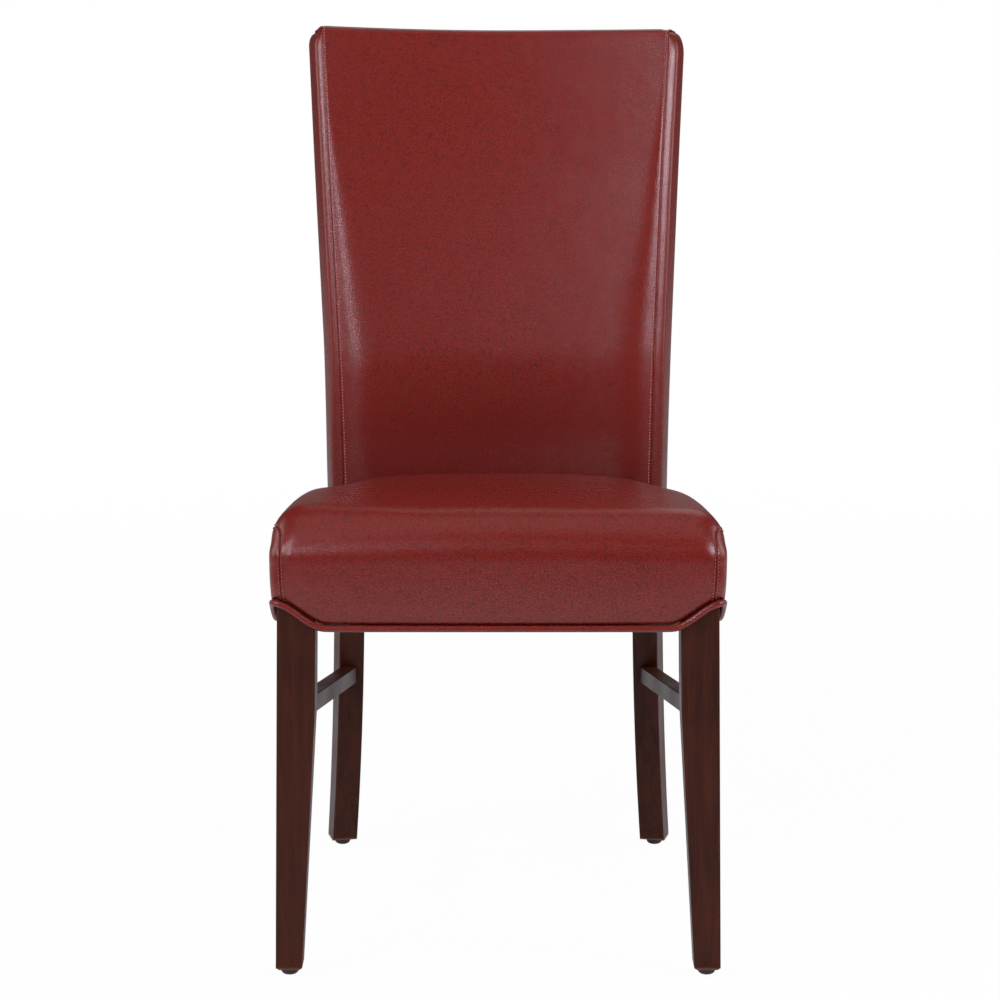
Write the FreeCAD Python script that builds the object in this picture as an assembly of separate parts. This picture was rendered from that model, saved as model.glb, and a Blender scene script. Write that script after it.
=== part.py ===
import FreeCAD, Part
import math
import os

# A high-backed dining chair: a dark wooden frame with a leather seat and a leather back.
# Sizes are in millimetres and angles in degrees. X runs across the chair, to the right as
# seen from the front. Y runs from the front to the back, and Z runs up from the floor.
# While the pieces are made, Y is 0 at the front faces of the front legs.

V = FreeCAD.Vector

# Glides
glide_height = 8.0
glide_diameter = 19.0
glide_flat_diameter = 9.0
glide_side_height = 4.0
nail_diameter = 2.6
nail_length = 22.0
nail_start_height = 2.5

# Front legs
front_leg_half_spread_floor = 235.2
front_leg_half_spread_rail = 229.3
front_leg_width = 40.0
front_leg_depth = 44.0
front_foot_width = 28.0
front_foot_depth = 34.0
front_leg_taper_height = 290.0
foot_chamfer = 2.5
leg_edge_radius = 1.6

# Rear posts, which are cut from planks that stand on lines through one upright axis
post_splay_angle = 13.5
post_arc_radius = 802.0
post_front_y = 423.4
post_width = 30.0
post_depth = 40.0
post_foot_depth = 35.0
post_top_depth = 34.0
post_bend_height = 400.0
post_lower_radius = 1208.0
post_upper_radius = 700.0
back_rake_angle = 12.9
post_top_height = 962.0

# Seat rails
rail_bottom_height = 376.0
rail_height = 60.0
rail_thickness = 22.0
rail_setback = 2.0

# Side stretchers
stretcher_size = 19.0
stretcher_edge_radius = 1.0
stretcher_front_height = 279.5
stretcher_rear_height = 228.5
stretcher_front_inset = 18.3
stretcher_rear_inset = 11.9

# Corner blocks and their screws
block_height = 35.0
block_drop = 9.0
block_run = 45.0
screw_diameter = 4.0
screw_head_diameter = 8.0
screw_head_height = 2.5
screw_length = 28.0
screw_end_distance = 13.0

# Dowels
rail_dowel_diameter = 10.0
rail_dowel_length = 34.0
rail_dowel_edge = 15.0
stretcher_dowel_diameter = 8.0
stretcher_dowel_length = 28.0
glue_clearance = 0.1

# Back rails, inner panel and outside board
panel_thickness = 4.0
panel_front_gap = 0.6
back_rail_thickness = 22.0
top_rail_height = 58.0
top_rail_drop = 4.0
lower_rail_height = 50.0
lower_rail_bottom_height = 446.0
board_gap = 0.8
board_thickness = 1.8
board_bottom_height = 412.0
board_top_drop = 12.0

# Webbing
strap_width = 50.0
strap_thickness = 2.0
cross_strap_count = 5
long_strap_count = 4
strap_end_margin = 4.0

# Staples
staple_crown = 10.0
staple_wire = 1.0
staple_crown_height = 0.6
staple_leg_length = 7.0
staple_clearance = 0.05
staple_margin = 11.0

# Leather, padding and seams
leather_thickness = 1.5
soft_clearance = 0.3
hem_lap = 5.0
welt_diameter = 7.0
welt_front_y = -5.0
scallop_rise = 27.0
scallop_width = 45.0
rear_scallop_rise = 22.0

# Seat cushion
seat_front_bulge = 9.0
seat_side_padding = 8.0
seat_foam_thickness = 52.0
seat_widest_y = 20.0
seat_side_draw = 3.0
seat_shoulder_radius = 26.0
seat_corner_seam_inset = 7.5
seat_side_seam_drop = 16.0

# Back cushion
back_top_padding = 27.0
back_front_padding = 17.0
back_rear_padding = 4.5
back_half_angle = 13.7
back_seam_angle = 13.25
back_seam_draw = 3.5
back_puff_width = 30.0
back_front_corner_radius = 7.0
back_rear_corner_radius = 5.0
back_top_seam_drop = 16.0
seat_platform_gap = 5.0
hem_skirt = 46.0
back_skirt = 26.0

# Dust cover
dust_cover_thickness = 0.5
dust_cover_margin = 6.0

# Values worked out from the sizes above
rail_top_height = rail_bottom_height + rail_height
axis_y = post_front_y - post_arc_radius * math.cos(math.radians(post_splay_angle))
platform_height = rail_top_height + seat_platform_gap
leg_top_height = rail_top_height
hem_height = rail_bottom_height + hem_lap
seat_shoulder_height = platform_height + seat_foam_thickness
seat_form_bottom = rail_bottom_height - hem_skirt
seat_half_width = front_leg_half_spread_rail + seat_side_padding
back_height = post_top_height + back_top_padding
back_form_bottom = rail_bottom_height - back_skirt


# Small geometry helpers

def face_of(points):
    """A flat face inside a closed run of straight lines."""
    return Part.Face(Part.makePolygon(points + [points[0]]))


def prism(points, push):
    """A face pushed along a vector."""
    return face_of(points).extrude(push)


def box(low, high):
    return Part.makeBox(high[0] - low[0], high[1] - low[1], high[2] - low[2], V(*low))


def mirrored(shape):
    """The same shape on the other side of the chair's middle plane."""
    return shape.mirror(V(0, 0, 0), V(1, 0, 0))


def rod(start, direction, length, diameter):
    return Part.makeCylinder(diameter / 2, length, start, direction)


def cut_all(shape, tools):
    return shape.cut(Part.makeCompound(tools))


def single(shape):
    """The largest solid of a cut shape, without leftover slivers."""
    return max(shape.Solids, key=lambda solid: solid.Volume)


def polar(radius, angle, height=0.0, inward=0.0):
    """A point at a radius and an angle about the upright axis of the curved back.
    The angle is measured from the middle plane, and inward shifts the point squarely
    away from the radial line, towards the middle plane."""
    a = math.radians(angle)
    x = radius * math.sin(a) - inward * math.cos(a)
    y = axis_y + radius * math.cos(a) + inward * math.sin(a)
    return V(x, y, height)


# Profile of the rear posts: how far the front and rear faces lie behind the bend point

def circle_offset(radius, run):
    """The sideways offset of an arc that starts upright, after a run along it."""
    return radius - math.sqrt(radius * radius - run * run)


def radius_for(offset, run):
    """The radius of an arc that starts upright and has an offset after a run."""
    return (run * run + offset * offset) / (2 * offset)


foot_run = post_bend_height - glide_height
foot_front_offset = circle_offset(post_lower_radius, foot_run)
post_lower_rear_radius = radius_for(foot_front_offset + post_foot_depth - post_depth, foot_run)
straight_start_height = post_bend_height + post_upper_radius * math.sin(math.radians(back_rake_angle))


def front_offset(height):
    """How far the post's front face lies behind the bend point at a height."""
    run = height - post_bend_height
    if run < 0:
        return circle_offset(post_lower_radius, -run)
    if height < straight_start_height:
        return circle_offset(post_upper_radius, run)
    rake = math.tan(math.radians(back_rake_angle))
    start = circle_offset(post_upper_radius, straight_start_height - post_bend_height)
    return start + (height - straight_start_height) * rake


def post_depth_at(height):
    """The post is deepest at the bend, and thins towards its foot and its top."""
    if height < post_bend_height:
        rear = post_depth + circle_offset(post_lower_rear_radius, post_bend_height - height)
        return rear - front_offset(height)
    if height < straight_start_height:
        return post_depth
    share = (height - straight_start_height) / (post_top_height - straight_start_height)
    return post_depth + (post_top_depth - post_depth) * share


def rear_offset(height):
    return front_offset(height) + post_depth_at(height)


def profile_arc(offset_at, low, high):
    """An arc through the ends and the middle of one curved stretch of the post."""
    heights = (low, (low + high) / 2, high)
    points = [polar(post_arc_radius + offset_at(z), post_splay_angle, z) for z in heights]
    return Part.Arc(*points).toShape()


def profile_line(start, end):
    return Part.makeLine(start, end)


def post_point(offset, height):
    return polar(post_arc_radius + offset, post_splay_angle, height)


def rear_post():
    """The right-hand leg and back upright, in one piece."""
    foot, bend, straight, top = glide_height, post_bend_height, straight_start_height, post_top_height
    front_foot = front_offset(foot) + foot_chamfer
    rear_foot = rear_offset(foot) - foot_chamfer
    foot_edge = foot + foot_chamfer
    edges = [
        profile_arc(front_offset, foot_edge, bend),
        profile_arc(front_offset, bend, straight),
        profile_line(post_point(front_offset(straight), straight), post_point(front_offset(top), top)),
        profile_line(post_point(front_offset(top), top), post_point(rear_offset(top), top)),
        profile_line(post_point(rear_offset(top), top), post_point(rear_offset(straight), straight)),
        profile_arc(rear_offset, bend, straight),
        profile_arc(rear_offset, foot_edge, bend),
        profile_line(post_point(rear_offset(foot_edge), foot_edge), post_point(rear_foot, foot)),
        profile_line(post_point(rear_foot, foot), post_point(front_foot, foot)),
        profile_line(post_point(front_foot, foot), post_point(front_offset(foot_edge), foot_edge)),
    ]
    face = Part.Face(Part.Wire(Part.__sortEdges__(edges)))
    inward = polar(0, post_splay_angle, 0, post_width) - polar(0, post_splay_angle)
    post = face.extrude(inward)
    long_edges = [edge for edge in post.Edges if edge.Length > rail_height]
    return post.makeFillet(leg_edge_radius, long_edges)


# Front legs

def front_leg_outer(height):
    rise = height / rail_bottom_height
    return front_leg_half_spread_floor + (front_leg_half_spread_rail - front_leg_half_spread_floor) * rise


def rounded_rectangle(x0, y0, x1, y1, z, radius):
    """A level outline with four small round corners."""
    share = radius * (1 - math.sqrt(0.5))
    corners = [(x1, y0, -1, 1), (x1, y1, -1, -1), (x0, y1, 1, -1), (x0, y0, 1, 1)]
    arcs = []
    for index, (x, y, dx, dy) in enumerate(corners):
        along_x = V(x + dx * radius, y, z)
        along_y = V(x, y + dy * radius, z)
        middle = V(x + dx * share, y + dy * share, z)
        ends = (along_x, along_y) if index % 2 == 0 else (along_y, along_x)
        arcs.append((ends[0], middle, ends[1]))
    edges = []
    for index, (start, middle, end) in enumerate(arcs):
        edges.append(Part.Arc(start, middle, end).toShape())
        edges.append(Part.makeLine(end, arcs[(index + 1) % 4][0]))
    return Part.Wire(edges)


def front_leg_section(height, width, depth, inset=0.0):
    outer = front_leg_outer(height)
    return rounded_rectangle(outer - width + inset, inset, outer - inset, depth - inset, height,
                             leg_edge_radius)


def front_leg():
    """The right-hand front leg, which tapers on its two inner faces below the stretcher."""
    foot = glide_height
    sections = [
        front_leg_section(foot, front_foot_width, front_foot_depth, foot_chamfer),
        front_leg_section(foot + foot_chamfer, front_foot_width, front_foot_depth),
        front_leg_section(front_leg_taper_height, front_leg_width, front_leg_depth),
        front_leg_section(leg_top_height, front_leg_width, front_leg_depth),
    ]
    return Part.makeLoft(sections, True, True)


# Seat rails, in plan

post_front_corner = polar(post_arc_radius, post_splay_angle)
side_rail_start = V(front_leg_outer(rail_top_height), front_leg_depth, 0)
side_rail_run = post_front_corner - side_rail_start
side_rail_direction = V(side_rail_run.x, side_rail_run.y, 0).normalize()


def side_rail_x(y, inset=0.0):
    """Where the right-hand side rail's outer face is at a depth, less an inset."""
    share = (y - side_rail_start.y) / side_rail_run.y
    return side_rail_start.x + side_rail_run.x * share - inset / side_rail_direction.y


def front_rail(leg):
    reach = front_leg_outer(rail_top_height)
    low = (-reach, rail_setback, rail_bottom_height)
    high = (reach, rail_setback + rail_thickness, rail_top_height)
    return single(cut_all(box(low, high), [leg, mirrored(leg)]))


def side_rail(post):
    """It starts at the leg's rear face, and its far end is cut to the post's face."""
    end_y = post_front_corner.y + post_depth / 2
    inner = rail_setback + rail_thickness
    plan = [
        (side_rail_x(front_leg_depth, rail_setback), front_leg_depth),
        (side_rail_x(end_y, rail_setback), end_y),
        (side_rail_x(end_y, inner), end_y),
        (side_rail_x(front_leg_depth, inner), front_leg_depth),
    ]
    rail = prism([V(x, y, rail_bottom_height) for x, y in plan], V(0, 0, rail_height))
    return single(rail.cut(post))


def swept(face, half_angle):
    """A face in the middle plane, swept about the upright axis of the back."""
    face.rotate(V(0, axis_y, 0), V(0, 0, 1), half_angle)
    return face.revolve(V(0, axis_y, 0), V(0, 0, 1), -2 * half_angle)


def revolved(points, half_angle):
    """A profile of radius and height pairs, swept about the upright axis of the back."""
    return swept(face_of([V(0, axis_y + radius, height) for radius, height in points]), half_angle)


def rear_rail(post):
    outer = post_arc_radius + post_depth
    inner = outer - rail_thickness
    profile = [
        (inner, rail_bottom_height),
        (outer, rail_bottom_height),
        (outer, rail_top_height),
        (inner, rail_top_height),
    ]
    rail = revolved(profile, post_splay_angle)
    return single(cut_all(rail, [post, mirrored(post)]))


# Back frame

def layer_edge(offset_at, shift, low, high):
    """A line up the middle of the back that follows the posts: an arc, then straight."""
    bend = min(high, straight_start_height)
    points = [V(0, axis_y + post_arc_radius + offset_at(z) + shift, z)
              for z in (low, (low + bend) / 2, bend, high)]
    edges = [Part.Arc(*points[:3]).toShape()] if bend > low else []
    if high > bend:
        edges.append(Part.makeLine(points[2] if edges else points[0], points[3]))
    return edges, points[0], points[3]


def back_layer(offset_at, shift, thickness, low, high, half_angle):
    """A curved layer that follows the front or the rear faces of the posts.
    The shift is how far the layer's front lies behind them."""
    near, near_low, near_high = layer_edge(offset_at, shift, low, high)
    far, far_low, far_high = layer_edge(offset_at, shift + thickness, low, high)
    ends = [Part.makeLine(near_low, far_low), Part.makeLine(near_high, far_high)]
    face = Part.Face(Part.Wire(Part.__sortEdges__(near + far + ends)))
    return swept(face, half_angle)


back_rail_shift = panel_front_gap + panel_thickness
top_rail_top_height = post_top_height - top_rail_drop


def between_posts(shape, post):
    return single(cut_all(shape, [post, mirrored(post)]))


def back_top_rail(post):
    layer = back_layer(front_offset, back_rail_shift, back_rail_thickness,
                       top_rail_top_height - top_rail_height, top_rail_top_height, post_splay_angle)
    return between_posts(layer, post)


def back_lower_rail(post):
    low = lower_rail_bottom_height
    layer = back_layer(front_offset, back_rail_shift, back_rail_thickness,
                       low, low + lower_rail_height, post_splay_angle)
    return between_posts(layer, post)


def back_panel(post):
    layer = back_layer(front_offset, panel_front_gap, panel_thickness,
                       lower_rail_bottom_height, top_rail_top_height, post_splay_angle)
    return between_posts(layer, post)


def outside_board():
    """The thin stiffening board behind the posts, under the rear leather."""
    top = post_top_height - board_top_drop
    return back_layer(rear_offset, board_gap, board_thickness, board_bottom_height, top, back_seam_angle)


# Stretchers

def stretcher_ends():
    front_x = front_leg_outer(stretcher_front_height) - stretcher_front_inset
    start = V(front_x, front_leg_depth, stretcher_front_height)
    radius = post_arc_radius + front_offset(stretcher_rear_height)
    end = polar(radius, post_splay_angle, stretcher_rear_height, stretcher_rear_inset)
    return start, end


def stretcher(post, leg):
    """A square bar from the front leg down to the rear leg."""
    start, end = stretcher_ends()
    reach = (end - start).normalize()
    begin = start - reach * (front_leg_depth / 2)
    finish = end + reach * (post_depth / 2)
    half = stretcher_size / 2
    corners = [V(begin.x + dx * half, begin.y, begin.z + dz * half)
               for dx, dz in ((-1, -1), (1, -1), (1, 1), (-1, 1))]
    bar = prism(corners, finish - begin)
    long_edges = [edge for edge in bar.Edges if edge.Length > stretcher_size * 2]
    bar = bar.makeFillet(stretcher_edge_radius, long_edges)
    return single(cut_all(bar, [post, leg]))


# Corner blocks

def line_cross(start, along, other, other_along):
    """Where two lines in plan meet."""
    det = along.x * other_along.y - along.y * other_along.x
    gap = other - start
    share = (gap.x * other_along.y - gap.y * other_along.x) / det
    return start + along * share


block_top_height = rail_top_height - block_drop
block_bottom_height = block_top_height - block_height
front_diagonal = V(1, 1, 0).normalize()
rear_diagonal = V(-1, 1, 0).normalize()


def side_rail_inner_line():
    start = V(side_rail_x(0, rail_setback + rail_thickness), 0, 0)
    return start, side_rail_direction


def front_block_plan():
    """It bears on the front rail, on the side rail and on the leg's inner corner."""
    leg_corner = V(front_leg_outer(rail_top_height) - front_leg_width, front_leg_depth, 0)
    rail_face = V(0, rail_setback + rail_thickness, 0)
    side_start, side_along = side_rail_inner_line()
    far_corner = leg_corner + V(-block_run / 2, block_run / 2, 0)
    return [line_cross(point, front_diagonal, line_start, along)
            for point, line_start, along in (
                (leg_corner, rail_face, V(1, 0, 0)),
                (leg_corner, side_start, side_along),
                (far_corner, side_start, side_along),
                (far_corner, rail_face, V(1, 0, 0)))]


def rear_block_plan():
    """It bears on the side rail, on the rear rail and on the post's inner corner."""
    post_corner = polar(post_arc_radius, post_splay_angle, 0, post_width)
    rail_middle = V(0, axis_y + post_arc_radius + post_depth - rail_thickness, 0)
    side_start, side_along = side_rail_inner_line()
    far_corner = post_corner + V(-block_run / 2, -block_run / 2, 0)
    return [line_cross(point, rear_diagonal, line_start, along)
            for point, line_start, along in (
                (post_corner, side_start, side_along),
                (post_corner, rail_middle, V(1, 0, 0)),
                (far_corner, rail_middle, V(1, 0, 0)),
                (far_corner, side_start, side_along))]


def block(plan):
    points = [V(p.x, p.y, block_bottom_height) for p in plan]
    return prism(points, V(0, 0, block_height))


def block_screw_places(plan):
    """Two screws through a block's long face, near its ends, square to that face."""
    first, last = plan[3], plan[2]
    along = (last - first).normalize()
    into = V(-along.y, along.x, 0)
    if into.dot(plan[0] - first) < 0:
        into = into * -1
    height = (block_bottom_height + block_top_height) / 2
    ends = (first + along * screw_end_distance, last - along * screw_end_distance)
    return [(V(p.x, p.y, height), into) for p in ends]


def screw(place, grow=0.0):
    point, into = place
    head = rod(point - into * screw_head_height, into, screw_head_height, screw_head_diameter)
    shank = rod(point, into, screw_length, screw_diameter + grow)
    return head.fuse(shank).removeSplitter()


def screw_hole(place):
    point, into = place
    return rod(point, into, screw_length + glue_clearance, screw_diameter + glue_clearance)


# Dowels

def dowel(centre, direction, diameter, length, grow=0.0):
    unit = V(direction.x, direction.y, direction.z).normalize()
    whole = length + grow
    return rod(centre - unit * (whole / 2), unit, whole, diameter + grow)


def rail_dowel_places():
    """Two dowels at each end of each seat rail, on the right-hand side."""
    middle = rail_setback + rail_thickness / 2
    leg_inner = front_leg_outer(rail_top_height) - front_leg_width
    front_end = V(leg_inner, middle, 0)
    side_front = V(side_rail_x(front_leg_depth, middle), front_leg_depth, 0)
    side_y = post_front_corner.y + math.tan(math.radians(post_splay_angle)) * middle
    side_rear = V(side_rail_x(side_y, middle), side_y, 0)
    rear_radius = post_arc_radius + post_depth - rail_thickness / 2
    rear_end = polar(rear_radius, post_splay_angle, 0, post_width)
    across = polar(0, post_splay_angle, 0, -1) - polar(0, post_splay_angle)
    places = []
    for height in (rail_bottom_height + rail_dowel_edge, rail_top_height - rail_dowel_edge):
        lift = V(0, 0, height)
        places.append((front_end + lift, V(1, 0, 0)))
        places.append((side_front + lift, side_rail_direction))
        places.append((side_rear + lift, side_rail_direction))
        places.append((rear_end + lift, across))
    return places


def rail_dowels(grow=0.0):
    return [dowel(centre, along, rail_dowel_diameter, rail_dowel_length, grow)
            for centre, along in rail_dowel_places()]


def back_rail_dowels(grow=0.0):
    """Two dowels at the right-hand end of each back rail."""
    lower = lower_rail_bottom_height
    upper = top_rail_top_height - top_rail_height
    across = polar(0, post_splay_angle, 0, -1) - polar(0, post_splay_angle)
    shapes = []
    for bottom, tall in ((lower, lower_rail_height), (upper, top_rail_height)):
        for height in (bottom + rail_dowel_edge, bottom + tall - rail_dowel_edge):
            middle = back_rail_shift + back_rail_thickness / 2
            radius = post_arc_radius + front_offset(height) + middle
            centre = polar(radius, post_splay_angle, height, post_width)
            shapes.append(dowel(centre, across, rail_dowel_diameter, rail_dowel_length, grow))
    return shapes


def stretcher_dowels(grow=0.0):
    start, end = stretcher_ends()
    return [dowel(centre, end - start, stretcher_dowel_diameter, stretcher_dowel_length, grow)
            for centre in (start, end)]


# Staples

def staple(place, grow=0.0):
    """A crown that lies flat, with two legs. The turn is 0 for a crown along X."""
    x, y, height, turn, push = place
    half = staple_crown / 2 + grow
    wire = staple_wire / 2 + grow
    crown_top = height + push * staple_crown_height
    leg_end = height - push * (staple_leg_length + grow)
    crown = box((-half, -wire, min(height, crown_top)), (half, wire, max(height, crown_top)))
    shape = crown
    for side in (-1, 1):
        inner = side * (staple_crown / 2 - staple_wire) - side * grow
        outer = side * half
        low = (min(inner, outer), -wire, min(height, leg_end))
        high = (max(inner, outer), wire, max(height, leg_end))
        shape = shape.fuse(box(low, high))
    shape.rotate(V(0, 0, 0), V(0, 0, 1), turn)
    shape.translate(V(x, y, 0))
    return shape.removeSplitter()


# Webbing

def spread(count, low, high):
    """Evenly spaced middles of a number of strips between two limits."""
    pitch = (high - low) / count
    return [low + pitch * (i + 0.5) for i in range(count)]


def cross_strap_middles():
    return spread(cross_strap_count, front_leg_depth, post_front_corner.y)


def long_strap_middles():
    reach = front_leg_outer(rail_top_height) - front_leg_width - strap_end_margin
    rear_reach = polar(post_arc_radius, post_splay_angle, 0, post_width).x
    limit = min(reach, rear_reach) - strap_end_margin
    return spread(long_strap_count, -limit, limit)


def cross_strap_reach(y):
    return side_rail_x(y + strap_width / 2, rail_setback + strap_end_margin)


def cross_straps():
    shapes = []
    for y in cross_strap_middles():
        reach = cross_strap_reach(y)
        low = (-reach, y - strap_width / 2, rail_top_height)
        high = (reach, y + strap_width / 2, rail_top_height + strap_thickness)
        shapes.append(box(low, high))
    return shapes


def rear_rail_y(x, radius):
    return axis_y + math.sqrt(radius * radius - x * x)


def long_strap_ends(x):
    front = rail_setback + strap_end_margin
    outer = post_arc_radius + post_depth - strap_end_margin
    rear = rear_rail_y(abs(x) + strap_width / 2, outer)
    return front, rear


def long_straps():
    """Each one lies on the cross straps and steps down onto the rails at its ends."""
    middles = cross_strap_middles()
    first = middles[0] - strap_width / 2
    last = middles[-1] + strap_width / 2
    low = rail_top_height
    high = low + strap_thickness
    step = strap_width / 10
    shapes = []
    for x in long_strap_middles():
        front, rear = long_strap_ends(x)
        under = [(front, low), (first - 2 * step, low), (first - step, high),
                 (last + step, high), (last + 2 * step, low), (rear, low)]
        over = [(y, z + strap_thickness) for y, z in under[::-1]]
        side = [V(x - strap_width / 2, y, z) for y, z in under + over]
        shapes.append(prism(side, V(strap_width, 0, 0)))
    return shapes


def webbing_staple_places():
    """Two staples at each end of each strap."""
    places = []
    height = rail_top_height + strap_thickness
    offsets = (-strap_width / 4, strap_width / 4)
    for x in long_strap_middles():
        front, rear = long_strap_ends(x)
        for dx in offsets:
            places.append((x + dx, front + strap_end_margin, height, 0, 1))
            places.append((x + dx, rear - strap_end_margin, height, 0, 1))
    for y in cross_strap_middles():
        reach = cross_strap_reach(y) - strap_end_margin
        for dy in offsets:
            places.append((reach, y + dy, height, 90, 1))
            places.append((-reach, y + dy, height, 90, 1))
    return places


# Dust cover

def dust_cover():
    """Thin cloth under the rails, notched round the legs."""
    front = rail_setback + dust_cover_margin
    leg_inner = front_leg_outer(0) - front_leg_width - dust_cover_margin
    notch_y = front_leg_depth + dust_cover_margin
    inset = rail_setback + dust_cover_margin
    post_corner = polar(post_arc_radius, post_splay_angle, 0, post_width)
    post_x = post_corner.x - dust_cover_margin
    post_y = post_front_corner.y - dust_cover_margin
    radius = post_arc_radius + post_depth - dust_cover_margin
    right = [
        V(leg_inner, front, 0),
        V(leg_inner, notch_y, 0),
        V(side_rail_x(notch_y, inset), notch_y, 0),
        V(side_rail_x(post_y, inset), post_y, 0),
        V(post_x, post_y, 0),
        V(post_x, rear_rail_y(post_x, radius), 0),
    ]
    left = [V(-p.x, p.y, 0) for p in right[::-1]]
    rear = Part.Arc(right[-1], V(0, axis_y + radius, 0), left[0]).toShape()
    edges = [Part.makeLine(a, b) for a, b in zip(right[:-1], right[1:])]
    edges.append(rear)
    edges += [Part.makeLine(a, b) for a, b in zip(left[:-1], left[1:])]
    edges.append(Part.makeLine(left[-1], right[0]))
    sheet = Part.Face(Part.Wire(edges)).extrude(V(0, 0, dust_cover_thickness))
    sheet.translate(V(0, 0, rail_bottom_height - dust_cover_thickness))
    return sheet


def dust_staple_places():
    """One row of staples round the edge of the dust cover."""
    height = rail_bottom_height - dust_cover_thickness
    places = []
    front_reach = front_leg_outer(0) - front_leg_width - 2 * staple_margin
    for x in spread(9, -front_reach, front_reach):
        places.append((x, rail_setback + staple_margin, height, 0, -1))
    for y in spread(7, front_leg_depth + staple_margin, post_front_corner.y - staple_margin):
        x = side_rail_x(y, rail_setback + staple_margin)
        places.append((x, y, height, 90, -1))
        places.append((-x, y, height, 90, -1))
    radius = post_arc_radius + post_depth - staple_margin
    rear_reach = polar(post_arc_radius, post_splay_angle, 0, post_width).x - 2 * staple_margin
    for x in spread(7, -rear_reach, rear_reach):
        places.append((x, rear_rail_y(x, radius), height, 0, -1))
    return places


# Glides

def front_glide_place():
    width_middle = front_leg_outer(glide_height) - front_foot_width / 2
    return width_middle, front_foot_depth / 2


def rear_glide_place():
    middle = polar(post_arc_radius + front_offset(glide_height) + post_foot_depth / 2,
                   post_splay_angle, 0, post_width / 2)
    return middle.x, middle.y


def glide(place):
    """A round button with a softly domed foot."""
    x, y = place
    radius = glide_diameter / 2
    flat = glide_flat_diameter / 2
    run = radius - flat
    dome = radius_for(glide_side_height, run)
    half_turn = math.asin(run / dome) / 2
    bulge = V(flat + dome * math.sin(half_turn), 0, dome - dome * math.cos(half_turn))
    edges = [
        Part.makeLine(V(0, 0, 0), V(flat, 0, 0)),
        Part.Arc(V(flat, 0, 0), bulge, V(radius, 0, glide_side_height)).toShape(),
        Part.makeLine(V(radius, 0, glide_side_height), V(radius, 0, glide_height)),
        Part.makeLine(V(radius, 0, glide_height), V(0, 0, glide_height)),
        Part.makeLine(V(0, 0, glide_height), V(0, 0, 0)),
    ]
    button = Part.Face(Part.Wire(edges)).revolve(V(0, 0, 0), V(0, 0, 1), 360)
    button.translate(V(x, y, 0))
    return button


def glide_nail(place):
    x, y = place
    return rod(V(x, y, nail_start_height), V(0, 0, 1), nail_length, nail_diameter)


def nail_hole(place):
    x, y = place
    return rod(V(x, y, nail_start_height), V(0, 0, 1), nail_length + glue_clearance,
               nail_diameter + glue_clearance)


# Hem of the leather: straight, and drawn up in a scallop at each leg

hem_slope = math.atan2(scallop_rise, scallop_width)
front_corner_x = front_leg_half_spread_rail
front_corner_y = 1.0
rear_corner = polar(post_arc_radius + post_depth, back_half_angle)


def scallop_along_x(start, end, rise, low_y, high_y, lift):
    """What lies under a hem that climbs from one X to another, between two depths."""
    hem = hem_height + lift
    far = 2 * seat_half_width
    side = [(start, hem), (end, hem + rise), (far, hem + rise), (far, 0), (start, 0)]
    return prism([V(x, low_y, z) for x, z in side], V(0, high_y - low_y, 0))


def scallop_along_y(start, end, rise, low_x, lift):
    """What lies under a hem that climbs from one Y to another, outside of low_x."""
    hem = hem_height + lift
    far = end + (end - start) * 10
    side = [(start, hem), (end, hem + rise), (far, hem + rise), (far, 0), (start, 0)]
    return prism([V(low_x, y, z) for y, z in side], V(2 * seat_half_width, 0, 0))


def back_wedge(half_angle):
    """The part of the plan within an angle of the middle plane, at any height."""
    far = 2 * post_arc_radius
    corners = [V(0, axis_y, 0), polar(far, half_angle), polar(far, -half_angle)]
    return prism(corners, V(0, 0, 2 * back_height))


def below_hem(lift=0.0):
    """Everything under the hem line, raised by a lift."""
    front = scallop_along_x(front_corner_x - scallop_width, front_corner_x, scallop_rise,
                            -seat_widest_y * 2, front_corner_y, lift)
    side = scallop_along_y(front_corner_y + scallop_width, front_corner_y, scallop_rise,
                           front_corner_x - seat_side_draw, lift)
    rear_side = scallop_along_y(post_front_y, rear_corner.y, rear_scallop_rise, post_width, lift)
    rear_side = rear_side.cut(back_wedge(back_seam_angle))
    rear = scallop_along_x(rear_corner.x - scallop_width, rear_corner.x, rear_scallop_rise,
                           rear_corner.y - post_depth / 4, post_arc_radius, lift)
    rear = rear.common(back_wedge(back_seam_angle))
    right = [front, side, rear_side, rear]
    far = 2 * seat_half_width
    base = box((-far, -far, 0), (far, post_arc_radius, hem_height + lift))
    return base.multiFuse(right + [mirrored(tool) for tool in right])


# Seat cushion form

seat_run = post_front_y - seat_widest_y
seat_rear_half_width = polar(post_arc_radius, post_splay_angle).x + seat_side_padding

# Each station is a depth, how much narrower than the full width, how far the form's
# bottom lies above the hem, how far the shoulder lies below its highest, the crown
# across the top, and how much smaller the shoulder's radius is.
seat_stations = [
    (-seat_front_bulge, 31.0, 45.0, 51.0, 1.0, 18.0),
    (-seat_front_bulge + 1.0, 19.0, 27.0, 38.0, 2.0, 10.0),
    (welt_front_y - 0.5, 11.3, 4.0, 27.0, 3.0, 4.0),
    (-1.0, 5.8, -19.0, 17.0, 4.0, 1.0),
    (6.0, 2.3, -38.0, 9.0, 5.0, 0.0),
    (seat_widest_y, 0.0, seat_form_bottom - hem_height, 3.0, 7.0, 0.0),
    (seat_widest_y + seat_run * 0.1, 0.0, seat_form_bottom - hem_height, 0.0, 8.0, 0.0),
    (seat_widest_y + seat_run * 0.3, 0.0, seat_form_bottom - hem_height, 1.0, 9.0, 0.0),
    (seat_widest_y + seat_run * 0.55, 0.0, seat_form_bottom - hem_height, 6.0, 9.0, 0.0),
    (seat_widest_y + seat_run * 0.8, 0.0, seat_form_bottom - hem_height, 15.0, 9.0, 0.0),
    (seat_widest_y + seat_run * 1.1, 0.0, seat_form_bottom - hem_height, 34.0, 9.0, 0.0),
]


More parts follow.
